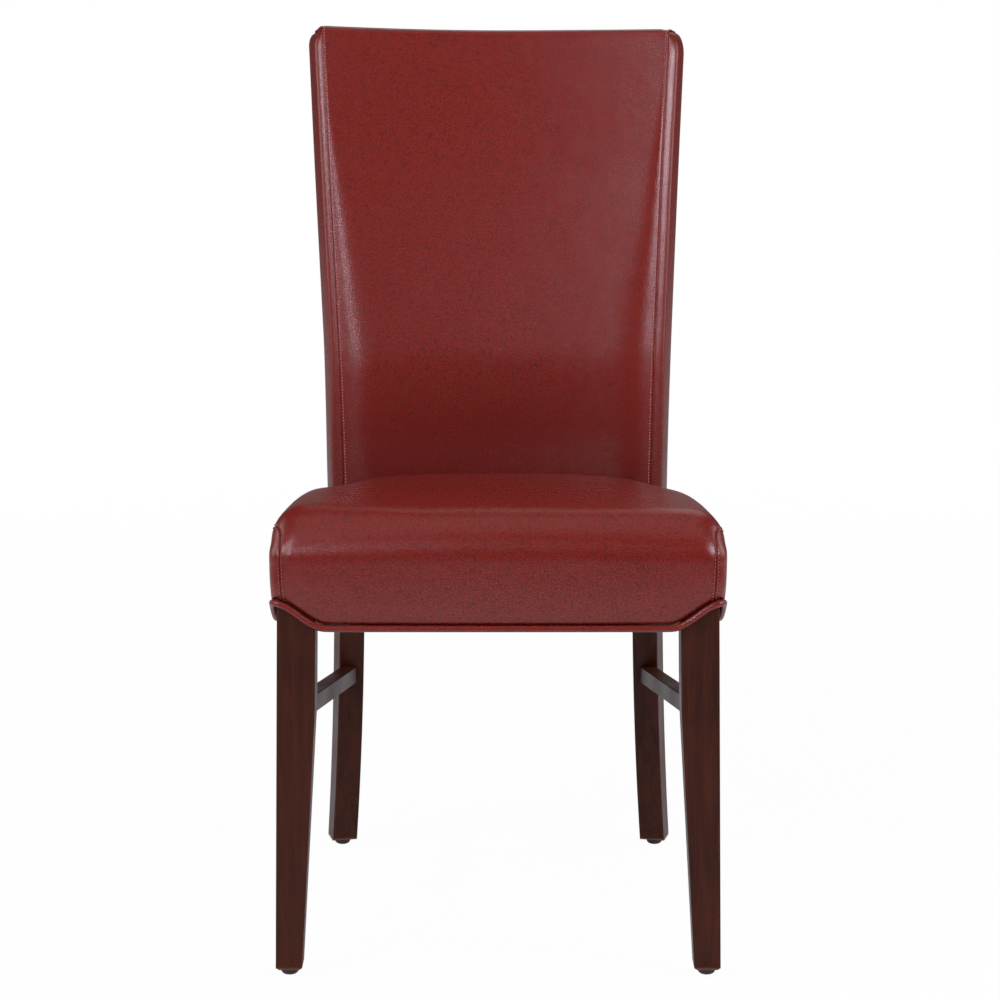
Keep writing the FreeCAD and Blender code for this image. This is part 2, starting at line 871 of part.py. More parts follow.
def seat_half_width_at(y):
    share = max(0.0, (y - seat_widest_y) / seat_run)
    return seat_half_width + (seat_rear_half_width - seat_half_width) * share


def seat_section(station, inset):
    """A closed outline across the seat: crowned top, round shoulders, full sides that
    are drawn in at the hem, and a straight bottom."""
    y, narrower, above, drop, crown, sharper = station
    half = seat_half_width_at(y) - narrower - inset
    hem_half = half - seat_side_draw
    bottom = hem_height + above
    if above > 0:
        bottom += inset
    top = seat_shoulder_height - drop - inset
    round_off = seat_shoulder_radius - sharper - inset
    place = y + inset if y < seat_widest_y else y
    share = 1 - math.sqrt(0.5)
    side_top = top - round_off
    right = [
        V(hem_half, place, bottom),
        V(half, place, (bottom + side_top * 2) / 3),
        V(half, place, side_top),
        V(half - round_off * share, place, top - round_off * share),
        V(half - round_off, place, top),
    ]
    left = [V(-p.x, p.y, p.z) for p in right]
    middle = V(0, place, top + crown)
    edges = [
        Part.makeLine(left[0], right[0]),
        Part.Arc(right[0], right[1], right[2]).toShape(),
        Part.Arc(right[2], right[3], right[4]).toShape(),
        Part.Arc(right[4], middle, left[4]).toShape(),
        Part.Arc(left[4], left[3], left[2]).toShape(),
        Part.Arc(left[2], left[1], left[0]).toShape(),
    ]
    return Part.Wire(edges)


def seat_form(inset):
    return Part.makeLoft([seat_section(station, inset) for station in seat_stations], True, True)


# Back cushion form

# Each pair is how far a level lies below the top, and how much further in it is drawn
# there, so that the top edge is rounded.
back_crest = [(24.0, 0.0), (10.0, 1.0), (4.0, 4.0), (1.0, 8.5), (0.0, 13.0)]
back_level_step = 60.0


def back_levels():
    start = back_height - back_crest[0][0]
    count = int((start - back_form_bottom) / back_level_step)
    step = (start - back_form_bottom) / count
    levels = [(back_form_bottom + step * i, 0.0) for i in range(count)]
    return levels + [(back_height - drop, draw) for drop, draw in back_crest]


def cover_rear_offset(height):
    top = post_top_height
    if height > top:
        return rear_offset(top) + front_offset(height) - front_offset(top)
    return rear_offset(height)


def back_section(height, draw, inset):
    """A closed outline in plan: a hollow front that puffs out between two seams, round
    corners, straight sides and a round rear."""
    front = post_arc_radius + front_offset(height) - back_front_padding + inset + draw
    rear = post_arc_radius + cover_rear_offset(height) + back_rear_padding - inset - draw
    z = height - inset
    side = inset + draw
    front_round = max(back_front_corner_radius - inset, 2.0)
    rear_round = max(back_rear_corner_radius - inset, 2.0)
    share = 1 - math.sqrt(0.5)
    seam_front = front + back_seam_draw
    puff_angle = back_seam_angle - math.degrees(back_puff_width / front)
    mid_angle = (back_seam_angle * 3 + puff_angle) / 4
    right = [
        polar(front, puff_angle, z, side),
        polar(front + back_seam_draw / 4, mid_angle, z, side),
        polar(seam_front, back_seam_angle, z, side),
        polar(seam_front + front_round * share, back_half_angle, z, side + front_round * share),
        polar(seam_front + front_round, back_half_angle, z, side),
        polar(rear - rear_round, back_half_angle, z, side),
        polar(rear - rear_round * share, back_half_angle, z, side + rear_round * share),
        polar(rear, back_half_angle, z, side + rear_round),
    ]
    left = [V(-p.x, p.y, p.z) for p in right]
    edges = [
        Part.Arc(left[0], V(0, axis_y + front, z), right[0]).toShape(),
        Part.Arc(right[0], right[1], right[2]).toShape(),
        Part.Arc(right[2], right[3], right[4]).toShape(),
        Part.makeLine(right[4], right[5]),
        Part.Arc(right[5], right[6], right[7]).toShape(),
        Part.Arc(right[7], V(0, axis_y + rear, z), left[7]).toShape(),
        Part.Arc(left[7], left[6], left[5]).toShape(),
        Part.makeLine(left[5], left[4]),
        Part.Arc(left[4], left[3], left[2]).toShape(),
        Part.Arc(left[2], left[1], left[0]).toShape(),
    ]
    return Part.Wire(edges)


def back_form(inset):
    return Part.makeLoft([back_section(z, draw, inset) for z, draw in back_levels()], True, True)


def under_platform(reach):
    """The space in front of the posts and below the seat platform."""
    profile = [(post_arc_radius / 2, 0), (reach, 0), (reach, platform_height),
               (post_arc_radius / 2, platform_height)]
    return revolved(profile, 2 * back_half_angle)


def behind_seat(gap):
    """The space that the seat leaves to the back and to the posts."""
    above = box((-seat_half_width, 0, platform_height), (seat_half_width, post_arc_radius, back_height))
    upper = back_form(-gap).common(above)
    start = post_arc_radius - gap
    profile = [(start, 0), (2 * start, 0), (2 * start, platform_height + gap),
               (start, platform_height + gap)]
    return [upper, revolved(profile, 2 * back_half_angle)]


# Seat upholstery

def seat_frame_space():
    """The rails, legs and webbing with a small clearance, seen from above."""
    gap = soft_clearance
    leg_x = front_leg_half_spread_rail + gap
    rear_y = post_front_y + post_depth
    right = [(leg_x, -gap), (leg_x, front_leg_depth + gap),
             (side_rail_x(front_leg_depth, rail_setback - gap), front_leg_depth + gap),
             (side_rail_x(rear_y, rail_setback - gap), rear_y)]
    plan = right + [(-x, y) for x, y in right[::-1]]
    top = rail_top_height + 2 * strap_thickness + gap
    return prism([V(x, y, 0) for x, y in plan], V(0, 0, top))


def seat_side_zone():
    """Where the right-hand side panel is cut from, outside the seams."""
    x_front = seat_half_width - seat_corner_seam_inset
    slope = (seat_half_width - seat_rear_half_width) / seat_run
    front_y = -2 * seat_front_bulge
    rear_y = post_front_y + post_depth
    far = 2 * seat_half_width
    plan = [V(x_front, front_y, 0), V(x_front, seat_widest_y, 0),
            V(x_front - slope * (rear_y - seat_widest_y), rear_y, 0), V(far, rear_y, 0), V(far, front_y, 0)]
    seam = seat_shoulder_height - seat_side_seam_drop
    rear_seam = seam - seat_stations[-1][3]
    bend_y = seat_stations[7][0]
    outline = [(front_y, 0), (rear_y, 0), (rear_y, rear_seam), (bend_y, seam), (front_y, seam)]
    side = prism([V(0, y, z) for y, z in outline], V(far, 0, 0))
    return prism(plan, V(0, 0, back_height)).common(side)


def seat_pieces():
    shell = seat_form(0).cut(seat_form(leather_thickness))
    for tool in [below_hem(), hem_welt(soft_clearance)] + behind_seat(soft_clearance):
        shell = shell.cut(tool)
    shell = single(shell)
    zone = seat_side_zone()
    right = single(shell.common(zone))
    left = single(shell.common(mirrored(zone)))
    top = single(cut_all(shell, [zone, mirrored(zone)]))
    return top, left, right


def seat_foam():
    foam = seat_form(leather_thickness + soft_clearance)
    tools = [seat_frame_space(), below_hem(leather_thickness), hem_welt(soft_clearance)]
    for tool in tools + behind_seat(soft_clearance):
        foam = foam.cut(tool)
    return single(foam)


# Back upholstery

def back_frame_space():
    """The posts and everything between them, with a small clearance in front."""
    gap = soft_clearance
    angle = post_splay_angle + math.degrees(gap / post_arc_radius)
    start = post_arc_radius - gap
    far = 2 * post_arc_radius
    below = revolved([(start, 0), (start, post_bend_height), (far, post_bend_height), (far, 0)], angle)
    above = back_layer(front_offset, -gap, post_arc_radius, post_bend_height,
                       post_top_height + gap, angle)
    return [below, above]


def back_rear_zone():
    """The space behind the middle of the back, up to the seam below its top."""
    top = back_height - back_top_seam_drop
    heights = [0, post_bend_height, straight_start_height, top]
    near = [(post_arc_radius + front_offset(max(z, post_bend_height)) + post_depth / 2, z) for z in heights]
    far = 2 * post_arc_radius
    return revolved(near + [(far, top), (far, 0)], 2 * back_half_angle)


def back_pieces():
    shell = back_form(0).cut(back_form(leather_thickness))
    for tool in (below_hem(), hem_welt(soft_clearance), under_platform(post_arc_radius)):
        shell = shell.cut(tool)
    wedge = back_wedge(back_seam_angle)
    middle = shell.common(wedge)
    sides = shell.cut(wedge)
    right = single(sides.common(box((0, 0, 0), (seat_half_width, post_arc_radius, back_height))))
    rear_zone = back_rear_zone()
    rear = single(middle.common(rear_zone))
    front = single(middle.cut(rear_zone))
    return front, rear, right


def back_foam():
    foam = back_form(leather_thickness + soft_clearance)
    reach = post_arc_radius + front_offset(platform_height)
    for tool in back_frame_space() + [below_hem(leather_thickness), under_platform(reach)]:
        foam = foam.cut(tool)
    return single(foam.cut(hem_welt(soft_clearance)))


# Welt along the hem

def round_corner(corner, first, second, heights):
    """Points that lead the piping round a corner of the frame, clear of its edge.
    First and second are the outward directions of the two faces that meet there."""
    centre = corner - (first + second) * leg_edge_radius
    steps = len(heights) - 1
    clear = leg_edge_radius + welt_diameter / 2 + soft_clearance
    reach = clear / math.cos(math.pi / 4 / steps)
    points = []
    for index, height in enumerate(heights):
        turn = math.pi / 2 * index / steps
        outward = first * math.cos(turn) + second * math.sin(turn)
        points.append(centre + outward * reach + V(0, 0, height))
    return points


def welt_points():
    """The middle line of the piping, on the right-hand side, from front to rear."""
    radius = welt_diameter / 2
    low = hem_height - radius
    slip = radius * math.tan(hem_slope / 2)
    high = low + scallop_rise
    rear_high = low + rear_scallop_rise
    corner = V(front_corner_x, 0, 0)
    front_round = round_corner(corner, V(0, -1, 0), V(1, 0, 0), (high - slip, high, high, high - slip))
    foot = V(front_round[-1].x, front_corner_y + scallop_width + slip, low)
    post_corner = polar(post_arc_radius + post_depth, post_splay_angle)
    outward = polar(0, post_splay_angle, 0, -1) - polar(0, post_splay_angle)
    rearward = polar(1, post_splay_angle) - polar(0, post_splay_angle)
    rear_round = round_corner(post_corner, outward, rearward, (rear_high,) * 3)
    rear_radius = post_arc_radius + post_depth + back_rear_padding
    low_angle = back_seam_angle - math.degrees(scallop_width / rear_radius)
    rear_run = [polar(rear_radius, low_angle * share, low) for share in (1, 2 / 3, 1 / 3, 0)]
    front_run = [V(0, welt_front_y, low), V(front_corner_x - scallop_width + slip, welt_front_y, low)]
    side_end = polar(post_arc_radius, post_splay_angle, low, -(radius + 2 * soft_clearance))
    return front_run + front_round + [foot, side_end] + rear_round + rear_run


def hem_welt(grow=0.0):
    right = welt_points()
    left = [V(-p.x, p.y, p.z) for p in right[1:-1]]
    loop = Part.makePolygon(right + left[::-1] + [right[0]])
    circle = Part.makeCircle(welt_diameter / 2 + grow, right[0], V(1, 0, 0))
    return loop.makePipeShell([Part.Wire([circle])], True, False, 1)


# The whole chair

def build():
    leg_blank = front_leg()
    post_blank = rear_post()
    rail_front = front_rail(leg_blank)
    rail_side = side_rail(post_blank)
    rail_rear = rear_rail(post_blank)
    bar = stretcher(post_blank, leg_blank)
    top_rail = back_top_rail(post_blank)
    lower_rail = back_lower_rail(post_blank)
    panel = back_panel(post_blank)

    front_plan = front_block_plan()
    rear_plan = rear_block_plan()
    screw_places = block_screw_places(front_plan) + block_screw_places(rear_plan)
    screw_holes = [screw_hole(place) for place in screw_places]
    front_block = cut_all(block(front_plan), screw_holes)
    rear_block = cut_all(block(rear_plan), screw_holes + [rail_rear])

    dowel_holes = [shape for make in (rail_dowels, back_rail_dowels, stretcher_dowels)
                   for shape in make(glue_clearance)]
    staples_top = webbing_staple_places()
    staples_under = dust_staple_places()
    staple_holes = [staple(place, staple_clearance) for place in staples_top + staples_under]
    glide_places = [front_glide_place(), rear_glide_place()]
    nail_holes = [nail_hole(place) for place in glide_places]
    side_tools = dowel_holes + screw_holes
    both_tools = side_tools + [mirrored(tool) for tool in side_tools] + staple_holes

    leg = cut_all(leg_blank, side_tools + nail_holes)
    post = cut_all(post_blank, side_tools + nail_holes)
    side = cut_all(rail_side, both_tools)
    bar = cut_all(bar, dowel_holes)
    seat_top, seat_left, seat_right = seat_pieces()
    back_front, back_rear, band = back_pieces()

    def pair(shapes):
        return Part.makeCompound(shapes + [mirrored(shape) for shape in shapes])

    parts = {
        "front_leg_right": leg,
        "front_leg_left": mirrored(leg),
        "rear_post_right": post,
        "rear_post_left": mirrored(post),
        "front_rail": cut_all(rail_front, both_tools),
        "rear_rail": cut_all(rail_rear, both_tools),
        "side_rail_right": side,
        "side_rail_left": mirrored(side),
        "side_stretcher_right": bar,
        "side_stretcher_left": mirrored(bar),
        "corner_block_front_right": front_block,
        "corner_block_front_left": mirrored(front_block),
        "corner_block_rear_right": rear_block,
        "corner_block_rear_left": mirrored(rear_block),
        "corner_block_screws": pair([screw(place) for place in screw_places]),
        "rail_dowels": pair(rail_dowels()),
        "back_rail_dowels": pair(back_rail_dowels()),
        "stretcher_dowels": pair(stretcher_dowels()),
        "back_top_rail": cut_all(top_rail, dowel_holes + [mirrored(tool) for tool in dowel_holes]),
        "back_lower_rail": cut_all(lower_rail, dowel_holes + [mirrored(tool) for tool in dowel_holes]),
        "back_inner_panel": panel,
        "back_outside_board": outside_board(),
        "seat_webbing_across": cut_all(Part.makeCompound(cross_straps()), staple_holes),
        "seat_webbing_lengthwise": cut_all(Part.makeCompound(long_straps()), staple_holes),
        "webbing_staples": Part.makeCompound([staple(place) for place in staples_top]),
        "dust_cover": cut_all(dust_cover(), staple_holes),
        "dust_cover_staples": Part.makeCompound([staple(place) for place in staples_under]),
        "seat_foam": seat_foam(),
        "seat_cover_top": seat_top,
        "seat_cover_side_left": seat_left,
        "seat_cover_side_right": seat_right,
        "back_foam": back_foam(),
        "back_cover_front": back_front,
        "back_cover_rear": back_rear,
        "back_side_band_right": band,
        "back_side_band_left": mirrored(band),
        "hem_welt": hem_welt(),
        "glide_nails": pair([glide_nail(place) for place in glide_places]),
    }
    names = ("front", "rear")
    for name, place in zip(names, glide_places):
        button = glide(place).cut(glide_nail(place))
        parts[f"glide_{name}_right"] = button
        parts[f"glide_{name}_left"] = mirrored(button)
    return parts


def main():
    os.makedirs("parts", exist_ok=True)
    parts = build()
    boxes = [shape.optimalBoundingBox() for shape in parts.values()]
    middle_y = (min(b.YMin for b in boxes) + max(b.YMax for b in boxes)) / 2
    for name, shape in parts.items():
        shape.translate(V(0, -middle_y, 0))
        shape.exportStep(f"parts/{name}.step")
        print(name, len(shape.Solids), shape.isValid(), round(shape.Volume))
    print("depth shift", round(middle_y, 2))


main()
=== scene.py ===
import math
from collections import namedtuple

import bmesh
import bpy
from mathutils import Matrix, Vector


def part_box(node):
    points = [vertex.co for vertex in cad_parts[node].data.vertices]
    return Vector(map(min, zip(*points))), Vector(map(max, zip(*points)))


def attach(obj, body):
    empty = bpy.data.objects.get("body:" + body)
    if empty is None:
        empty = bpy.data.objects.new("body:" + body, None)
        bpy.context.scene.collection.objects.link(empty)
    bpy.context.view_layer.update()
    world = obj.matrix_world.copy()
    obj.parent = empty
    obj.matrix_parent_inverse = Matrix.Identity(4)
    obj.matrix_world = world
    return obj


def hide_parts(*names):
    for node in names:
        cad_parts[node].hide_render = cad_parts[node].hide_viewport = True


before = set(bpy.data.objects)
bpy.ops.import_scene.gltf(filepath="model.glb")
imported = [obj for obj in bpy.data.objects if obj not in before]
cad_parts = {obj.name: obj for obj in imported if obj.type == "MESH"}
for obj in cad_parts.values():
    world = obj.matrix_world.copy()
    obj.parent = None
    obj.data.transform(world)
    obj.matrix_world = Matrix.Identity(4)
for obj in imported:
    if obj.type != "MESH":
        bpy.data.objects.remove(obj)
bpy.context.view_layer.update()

bl_info = {
    "name": "Leather Dining Chair",
    "version": (1, 0, 0),
    "blender": (4, 5, 0),
    "location": "View3D > Sidebar > Chair",
    "description": "Dresses a high-backed dining chair with leather, piping and dark wood",
    "category": "Add Mesh",
}

# The chair faces -Y. Places are in metres, and depths are measured from the front
# faces of the front legs, so that a depth becomes a place with to_place.


def box_low(node):
    return Vector(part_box(node)[0])


def box_high(node):
    return Vector(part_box(node)[1])


LEG_FRONT = box_low("front_leg_right").y
HEM = box_low("seat_cover_side_right").z
RAIL_TOP = box_high("front_rail").z
CHAIR_TOP = box_high("back_cover_front").z
POST_TOP = box_high("rear_post_right").z
SEAT_HALF_WIDTH = box_high("seat_cover_side_right").x


# Sizes and colours

def length(name, description, default):
    return bpy.props.FloatProperty(name=name, description=description, default=default,
                                   subtype="DISTANCE", unit="LENGTH", precision=4)


def angle(name, description, degrees):
    return bpy.props.FloatProperty(name=name, description=description,
                                   default=math.radians(degrees), subtype="ANGLE", unit="ROTATION")


def share(name, description, default):
    return bpy.props.FloatProperty(name=name, description=description, default=default,
                                   min=0.0, max=1.0, subtype="FACTOR")


def colour(name, description, default):
    return bpy.props.FloatVectorProperty(name=name, description=description, default=default,
                                         size=3, min=0.0, max=1.0, subtype="COLOR")


class SeatSizes(bpy.types.PropertyGroup):
    """Sizes of the seat cushion."""
    crown: length("Crown", "Height of the crown across the top", 0.0058)
    front_crown: length("Front crown", "How far the middle of the front bulges", 0.006)
    hem_crown: length("Hem crown", "How far the middle of the front's hem bulges", 0.0028)
    shoulder_height: length("Shoulder height", "Highest height of the side shoulders", 0.4938)
    shoulder_radius: length("Shoulder radius", "Roundness of the side shoulders", 0.0346)
    corner_radius: length("Corner radius", "Roundness of the front corners at the hem", 0.014)
    nose_corner: length("Nose corner", "Roundness of the front corners at the top", 0.034)
    nose_radius: length("Nose radius", "Roundness between the front and the top", 0.052)
    front_bulge: length("Front bulge", "How far the front stands before the legs", 0.009)
    hem_front: length("Hem at the front", "How far the front's hem stands before the legs", 0.005)
    widest_depth: length("Widest depth", "Depth at which the seat is widest", 0.020)
    rear_half_width: length("Rear half width", "Half the seat's width where it meets the back",
                            0.1960)
    hem_draw: length("Draw at the hem", "How far the sides are drawn in at the hem", 0.0058)
    corner_seam: length("Corner seam", "Distance of the front corner seams from the sides", 0.0120)
    side_seam: length("Side seam", "How far the side seams lie in from the sides", 0.0020)
    rear_drop: length("Rear drop", "How much lower the shoulder is at the back", 0.0255)
    rear_radius: length("Rear radius", "Roundness of the sides beside the back", 0.035)
    rear_side_drop: length("Drop beside the back",
                           "How much further the sides drop beside the back", 0.0035)
    left_lift: length("Left lift", "How full the left shoulder is padded", 0.0064)
    left_drop: length("Left drop", "How much lower the left edge is behind", 0.0118)
    right_drop: length("Right drop", "How much lower the right edge is behind", 0.0038)
    right_lift: length("Right lift", "How full the right shoulder is padded", 0.0022)
    rear_roll: length("Rear roll", "Roundness of the edge that meets the back", 0.011)


class BackSizes(bpy.types.PropertyGroup):
    """Sizes of the padded back, which curves about an upright axis before the chair."""
    arc_radius: length("Arc radius", "Radius of the posts' front faces about the axis", 0.802)
    post_depth_place: length("Post depth", "Depth at which the posts' front outer corners stand",
                             0.4234)
    post_angle: angle("Post angle", "Angle of the posts about the axis", 13.5)
    side_angle: angle("Side angle", "Angle of the leather sides about the axis", 13.7)
    seam_angle: angle("Left seam angle", "Angle of the left seam beside the front panel", 13.13)
    right_seam_angle: angle("Right seam angle", "Angle of the right seam beside the front panel",
                            12.93)
    bend_height: length("Bend height", "Height at which the posts start to lean back", 0.400)
    bend_radius: length("Bend radius", "Radius of the bend in the posts", 0.700)
    rake: angle("Rake", "Lean of the back above the bend", 12.9)
    post_depth: length("Post thickness", "Depth of the posts at the bend", 0.040)
    post_top_depth: length("Post top thickness", "Depth of the posts at their top", 0.034)
    front_padding: length("Front padding", "Thickness of the padding before the posts", 0.017)
    rear_padding: length("Rear padding", "Thickness of the padding behind the posts", 0.0045)
    front_corner: length("Front corner", "Roundness of the bands at the front", 0.0070)
    rear_corner: length("Rear corner", "Roundness of the bands at the rear", 0.005)
    top_curve: length("Top curve", "How far the front curves back towards the top", 0.0045)
    top_front: length("Top front edge", "Roundness of the top's front edge", 0.0040)
    top_rear: length("Top rear edge", "Roundness of the top's rear edge", 0.008)
    top_seam_drop: length("Top seam drop", "How far the rear seam lies below the top", 0.016)
    roll_width: length("Roll width", "Width of the rolls of padding beside the seams", 0.051)
    band_tilt: angle("Band tilt", "Slope of the side bands beside the front panel", 27.0)
    roll_slope: angle("Roll slope", "Slope of the rolls of padding at the seams", 34.0)
    lean: length("Lean", "How far the back leans to the left at its top", 0.0022)
    left_corner_fall: length("Left corner fall",
                             "How far the top is rounded down at the left corner", 0.0036)
    right_corner_fall: length("Right corner fall",
                              "How far the top is rounded down at the right corner", 0.0012)
    left_crest: length("Left crest", "Height of the left band's rounded top", 0.017)
    right_crest: length("Right crest", "Height of the right band's rounded top", 0.029)
    left_corner_rise: length("Left corner rise", "How much higher the top's left corner is", 0.0054)
    right_corner_rise: length("Right corner rise", "How much higher the top's right corner is",
                              0.0016)


class HemSizes(bpy.types.PropertyGroup):
    """Sizes of the hem and its piping."""
    piping: length("Piping", "Diameter of the piping", 0.007)
    scallop_rise: length("Scallop rise", "How far the hem is drawn up at the front legs", 0.027)
    scallop_width: length("Scallop width", "Run over which the hem is drawn up", 0.047)
    rear_rise: length("Rear scallop rise", "How far the hem is drawn up at the rear legs", 0.022)
    corner_depth: length("Corner depth", "Depth of the top of the front scallops", 0.001)


class StitchSizes(bpy.types.PropertyGroup):
    """Sizes of the sewing."""
    pitch: length("Stitch pitch", "Length of one stitch with its gap", 0.0036)
    stitch: length("Stitch length", "Length of one stitch", 0.0022)
    thread: length("Thread", "Thickness of the thread", 0.0011)
    setback: length("Setback", "Distance of the stitches from the seam", 0.0020)
    double_setback: length("Double setback", "Distance of the corner stitches from their seam",
                           0.0018)


class Colours(bpy.types.PropertyGroup):
    """Colours of the finishes."""
    leather: colour("Leather", "Main colour of the leather", (0.205, 0.0150, 0.0092))
    # The pore colour is also what the painted shade low on the back darkens the leather towards.
    pore_and_painted_shade_leather: colour("Deep leather", "Colour in the pores of the leather",
                         (0.100, 0.0066, 0.0042))
    thread: colour("Thread", "Colour of the sewing thread", (0.560, 0.170, 0.160))
    # A darker copy of the sewing thread for the seat's corner stitches: painted shade, as the same
    # thread looks darker there than where the light catches it.
    dull_thread: colour("Dull thread", "Colour of the thread at the seat's corners",
                        (0.360, 0.070, 0.062))
    wood: colour("Wood", "Colour of the stained wood", (0.057, 0.0125, 0.0052))
    wood_dark: colour("Dark wood", "Colour of the darker grain", (0.030, 0.0068, 0.0032))
    wood_worn: colour("Worn wood", "Colour where the stain is thin", (0.130, 0.045, 0.019))
    glide: colour("Glide", "Colour of the glides", (0.022, 0.017, 0.014))
    floor: colour("Floor", "Colour of the floor and backdrop", (0.88, 0.88, 0.88))


class StageSizes(bpy.types.PropertyGroup):
    """Camera and lamps."""
    distance: length("Camera distance", "Distance of the camera before the front legs", 2.882)
    height: length("Camera height", "Height of the camera", 0.9874)
    pitch: angle("Camera pitch", "How far the camera looks down", 9.368)
    aside: length("Camera aside", "How far the camera stands to the right", 0.0019)
    view: angle("Field of view", "Width of the camera's view", 19.942)
    ambient: share("Ambient", "Strength of the soft light from all round", 0.05)
    bounce: share("Bounce", "How far the white floor lights the chair from below", 0.33)
    glossy_part: share("Glossy part", "How far reflections show the white backdrop", 0.18)


SIZES = {
    "chair_seat": SeatSizes,
    "chair_back": BackSizes,
    "chair_hem": HemSizes,
    "chair_sewing": StitchSizes,
    "chair_colours": Colours,
    "chair_stage": StageSizes,
}


def seat_sizes():
    return bpy.context.scene.chair_seat


def back_sizes():
    return bpy.context.scene.chair_back


def hem_sizes():
    return bpy.context.scene.chair_hem


def sewing_sizes():
    return bpy.context.scene.chair_sewing


def colours():
    return bpy.context.scene.chair_colours


def stage_sizes():
    return bpy.context.scene.chair_stage


# Small helpers

def clamp(value, low=0.0, high=1.0):
    return max(low, min(high, value))


def ease(value):
    """A step from 0 to 1 with soft ends."""
    t = clamp(value)
    return t * t * (3 - 2 * t)


def mix(a, b, part):
    return a + (b - a) * part


def steps(low, high, count):
    return [mix(low, high, i / count) for i in range(count + 1)]


def to_place(x, depth, z):
    """A place in the chair's frame, from a depth behind the front legs' front faces."""
    return Vector((x, LEG_FRONT + depth, z))


def new_mesh(name, verts, faces):
    mesh = bpy.data.meshes.new(name)
    mesh.from_pydata(verts, [], faces)
    mesh.validate()
    mesh.polygons.foreach_set("use_smooth", [True] * len(mesh.polygons))
    mesh.update()
    return mesh


def mesh_of(name, grids):
    """One mesh from several grids of points, sewn together where their points meet."""
    verts, faces, numbers_of = [], [], {}

    def number_of(point):
        key = tuple(round(value, 6) for value in point)
        if key not in numbers_of:
            numbers_of[key] = len(verts)
            verts.append(point)
        return numbers_of[key]

    for grid in grids:
        numbers = [[number_of(point) for point in row] for row in grid]
        for low, high in zip(numbers[:-1], numbers[1:]):
            for k in range(len(low) - 1):
                corners = list(dict.fromkeys((low[k], low[k + 1], high[k + 1], high[k])))
                if len(corners) > 2:
                    faces.append(corners)
    return new_mesh(name, verts, faces)


def piece_of(name, mesh, material, replaces=()):
    """An object that rides on the chair and shows one finish."""
    piece = bpy.data.objects.new(name, mesh)
    bpy.context.scene.collection.objects.link(piece)
    mesh.materials.append(material)
    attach(piece, "root")
    if replaces:
        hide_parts(*replaces)
    return piece


def thicken(piece, thickness):
    """Gives a skin its thickness, on its inner side."""
    solid = piece.modifiers.new("Thickness", "SOLIDIFY")
    solid.thickness = thickness
    solid.offset = -1.0
    solid.use_rim = True
    graph = bpy.context.evaluated_depsgraph_get()
    mesh = bpy.data.meshes.new_from_object(piece.evaluated_get(graph))
    piece.modifiers.clear()
    piece.data = mesh


def flipped(grid):
    return [row[::-1] for row in grid]


# The hem line

def scallop(along, across):
    """The form of a scallop, from 0 on the level hem to 1 at the leg."""
    part = min(clamp(along), clamp(across))
    return mix(part, ease(part), 0.6)


def front_rise(x, depth):
    """How far the hem is drawn up at the front legs, near a place on the seat's outside."""
    hem = hem_sizes()
    margin = 0.008
    full = SEAT_HALF_WIDTH * abs(x) / half_width(depth)
    across = (full - (SEAT_HALF_WIDTH - margin - hem.scallop_width)) / hem.scallop_width
    along = 1 - (depth - hem.corner_depth) / hem.scallop_width
    return hem.scallop_rise * scallop(along, across)


def rear_rise(x, depth):
    """How far the hem is drawn up at the rear legs."""
    hem = hem_sizes()
    corner_x, corner_depth = rear_corner_place()
    start = back_sizes().post_depth_place
    along = (depth - start) / (corner_depth - start)
    across = (abs(x) - (corner_x - hem.scallop_width)) / hem.scallop_width
    return hem.rear_rise * scallop(along, across)


def hem_height(x, depth):
    return HEM + front_rise(x, depth) + rear_rise(x, depth)


def hem_tuck(above):
    """How far the leather is drawn in just above the piping."""
    reach, most = 0.006, 0.0014
    near = clamp(1 - above / reach)
    return most * near * near


# The seat cushion's form

Station = namedtuple("Station", "depth z out_depth out_z crown radius blend kind part")


def half_width(depth):
    """Half the seat's width at a depth."""
    seat = seat_sizes()
    rear = back_sizes().post_depth_place
    taper_power = 1.22
    along = clamp((depth - seat.widest_depth) / (rear - seat.widest_depth))
    return mix(SEAT_HALF_WIDTH, seat.rear_half_width, along ** taper_power)


def seat_warp(x, depth, z):
    """Takes a point of the straight-sided form to the tapered seat with its drawn-in hem."""
    seat = seat_sizes()
    draw_height = 0.07
    low = clamp(1 - (z - HEM) / draw_height)
    width = half_width(depth) - seat.hem_draw * low * low
    return to_place(x * width / SEAT_HALF_WIDTH, depth, z)


def shoulder_fall(depth):
    """How far the top lies below its highest at a depth."""
    start, fall_power = 0.10, 1.8
    run = clamp((depth - start) / (back_sizes().post_depth_place - start))
    return seat_sizes().rear_drop * run ** fall_power


def nose_start():
    """The height at which the front begins to turn over into the top."""
    seat = seat_sizes()
    return seat.shoulder_height + seat.crown - seat.nose_radius


def back_front_depth(x, z):
    """The depth just before the back's front face."""
    gap = 0.0012
    radius = front_radius(z) - gap
    return axis_depth() + math.sqrt(max(radius * radius - x * x, 0.0))


